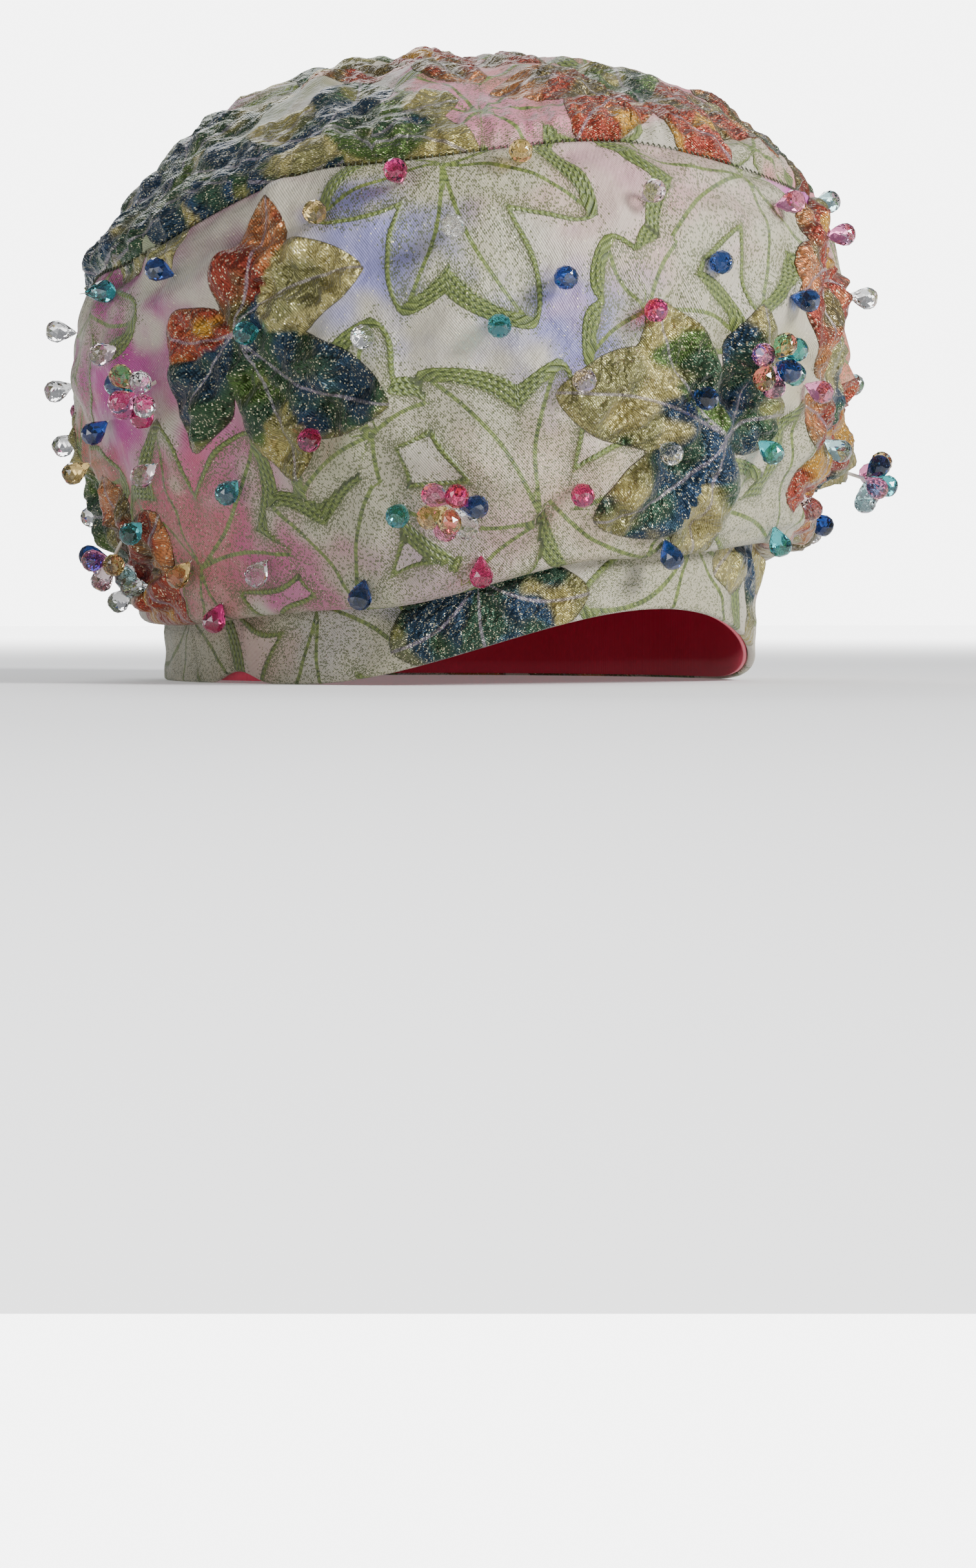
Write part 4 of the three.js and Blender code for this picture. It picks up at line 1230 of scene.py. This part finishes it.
solid_cloth = surface_of(frame["nodes"]["side_drape"], frame["nodes"]["crown_top"])
bunch_stances = {}
stalks = []
for azimuth, rise, stalk, lean, turn, colours in CLUSTERS:
    sewn, facing = cloth_beside(solid_cloth, azimuth, rise * HAT_HEIGHT)
    axis = leant(facing, lean)
    upright = axis.to_track_quat("Z", "Y").to_matrix()
    foot = sewn + facing * HUB_CLEARANCE * MM
    hub = foot + axis * (stalk * DROP_LENGTH + HUB_RADIUS) * MM
    stalks.append((foot, hub))
    for bead, colour in enumerate(colours.split()):
        tilt = 0 if bead == 0 else math.radians(RING_TILT + bead % 2 * RING_STAGGER)
        spin = math.radians(turn + 360 / RING_COUNT * (bead - 1))
        round_way = Vector((math.cos(spin), math.sin(spin), 0)) * math.sin(tilt)
        way = upright @ (round_way + Vector((0, 0, math.cos(tilt))))
        bunch_stances.setdefault(colour, []).append((hub + way * HUB_SEAT * MM, way))

cluster_nodes = sorted(name for name in SLOTS if name.startswith("cluster"))
for colour, stances in bunch_stances.items():
    tips, ways = zip(*stances)
    bunch = sewn_on(f"bunch_{colour}", tips, ways, BRIOLETTE, GLASSES[colour])
    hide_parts(*cluster_nodes)
    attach(bunch, "root")


# Sewing threads
# Pale silk thread holds the drops: a loop goes from the cloth through each drilled tip and back.
# The clusters' stalks are the same thread, wound round.
THREAD_RADIUS = 0.13
STALK_RADIUS = 0.55
STALK_ROOT = 0.6
LOOP_STEPS = 10
LOOP_HALF_WIDTH = 0.7
LOOP_RISE = 1.7
LOOP_DEPTH = 1.1


def thread_along(name, paths, radius):
    """Round thread along each path of points, as one plain mesh."""
    curve = bpy.data.curves.new(name, "CURVE")
    curve.dimensions = "3D"
    curve.bevel_depth = radius * MM
    curve.bevel_resolution = 1
    curve.use_fill_caps = True
    for path in paths:
        spline = curve.splines.new("POLY")
        spline.points.add(len(path) - 1)
        for point, place in zip(spline.points, path):
            point.co = (*place, 1)
    guide = placed(f"{name}_guide", curve)
    evaluated = guide.evaluated_get(bpy.context.evaluated_depsgraph_get())
    mesh = bpy.data.meshes.new_from_object(evaluated)
    mesh.polygons.foreach_set("use_smooth", [True] * len(mesh.polygons))
    bpy.data.objects.remove(guide)
    return placed(name, mesh)


def loop_through(tip, way):
    tip = Vector(tip)
    way = Vector(way)
    side = way.cross(Vector((0, 0, 1))).normalized()
    path = []
    for step in range(LOOP_STEPS + 1):
        turn = math.pi * (step / LOOP_STEPS - 0.5)
        rise = LOOP_RISE * math.cos(turn) - LOOP_DEPTH
        path.append(tip + (side * LOOP_HALF_WIDTH * math.sin(turn) + way * rise) * MM)
    return path


singles = list(CAD_DROPS.values())
for stances in more_stances.values():
    singles += stances
loops = thread_along("sewing_loops", [loop_through(*stance) for stance in singles], THREAD_RADIUS)
stalk_paths = [(foot + (foot - hub) * STALK_ROOT, hub) for foot, hub in stalks]
stalk_threads = thread_along("stalk_threads", stalk_paths, STALK_RADIUS)
SILK = thread_material("pale_silk", (0.80, 0.74, 0.62), 0.5)
for piece in (loops, stalk_threads):
    piece.data.materials.clear()
    piece.data.materials.append(SILK)
    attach(piece, "root")


# Table, light and camera
# A pale table that glows white far from the hat, under soft studio light that is the stronger from
# the right, seen from just above the table.
FLOOR_SIZE = 6
FLOOR_LIT_FROM = 0.35
FLOOR_LIT_TO = 2.4
floor_mesh = bpy.data.meshes.new("floor")
corners = [(-FLOOR_SIZE, -FLOOR_SIZE, 0), (FLOOR_SIZE, -FLOOR_SIZE, 0),
           (FLOOR_SIZE, FLOOR_SIZE, 0), (-FLOOR_SIZE, FLOOR_SIZE, 0)]
floor_mesh.from_pydata(corners, [], [(0, 1, 2, 3)])
floor = placed("floor", floor_mesh)
table = bpy.data.materials.new("pale_table")
table.use_nodes = True
paint = table.node_tree
surface = paint.nodes["Principled BSDF"]
place = add_node(paint, "ShaderNodeTexCoord").outputs["Object"]
far = add_node(paint, "ShaderNodeVectorMath", {0: place}, operation="LENGTH").outputs["Value"]
far = ramp_between(paint, far, FLOOR_LIT_FROM, FLOOR_LIT_TO)
glow = mix_colour(paint, far, (0.15, 0.15, 0.15, 1), (5, 5, 5, 1))
tint = mix_colour(paint, far, (0.92, 0.92, 0.92, 1), (0.8, 0.8, 0.8, 1))
paint.links.new(glow, surface.inputs["Emission Color"])
paint.links.new(tint, surface.inputs["Base Color"])
surface.inputs["Emission Strength"].default_value = 1
surface.inputs["Roughness"].default_value = 0.6
floor_mesh.materials.append(table)

SURROUND = (0.30, 0.31, 0.33, 1)
BACKDROP = (6, 6, 6, 1)
world = bpy.data.worlds.new("studio")
world.use_nodes = True
studio = world.node_tree
seen = add_node(studio, "ShaderNodeLightPath").outputs["Is Camera Ray"]
sky = mix_colour(studio, seen, SURROUND, BACKDROP)
fill(studio, studio.nodes["Background"].inputs["Color"], sky)
bpy.context.scene.world = world


LIT_HEIGHT = 0.09


def turned_to(place, target):
    """A placement that looks from a place at a target."""
    turn = (target - place).to_track_quat("-Z", "Y").to_matrix().to_4x4()
    return Matrix.Translation(place) @ turn


def soft_box(name, place, size, power):
    light = bpy.data.lights.new(name, "AREA")
    light.shape = "RECTANGLE"
    light.size, light.size_y = size
    light.energy = power
    body = placed(name, light)
    body.matrix_world = turned_to(Vector(place), Vector((0, 0, LIT_HEIGHT)))


soft_box("right_box", (0.75, -1.25, 0.75), (0.35, 0.5), 48)
soft_box("left_box", (-1.3, -0.7, 0.6), (0.3, 0.7), 5)
soft_box("back_box", (0.2, 1.2, 1.1), (0.9, 0.6), 11)

# The picture's size and scale, and where the middle of the hat lies in it
IMAGE_WIDTH = 1512
IMAGE_HEIGHT = 2429
PIXELS_PER_MM = 5.45
MIDDLE_ACROSS = 706
MIDDLE_DOWN = 590
MIDDLE_HEIGHT = 0.085
CAMERA_AZIMUTH = -24
CAMERA_DISTANCE = 1.1
CAMERA_HEIGHT = 0.018
camera_data = bpy.data.cameras.new("camera")
view_height = IMAGE_HEIGHT / PIXELS_PER_MM * MM
camera_data.lens = camera_data.sensor_width * CAMERA_DISTANCE / view_height
camera = placed("camera", camera_data)
turn = math.radians(CAMERA_AZIMUTH)
middle = Vector((CENTRE[0], CENTRE[1], MIDDLE_HEIGHT))
eye = middle + Vector((math.sin(turn), -math.cos(turn), 0)) * CAMERA_DISTANCE
eye.z = CAMERA_HEIGHT
right = Vector((math.cos(turn), math.sin(turn), 0))
aim = middle + right * ((IMAGE_WIDTH / 2 - MIDDLE_ACROSS) / PIXELS_PER_MM * MM)
aim.z += (MIDDLE_DOWN - IMAGE_HEIGHT / 2) / PIXELS_PER_MM * MM
camera.matrix_world = turned_to(eye, aim)
bpy.context.scene.camera = camera
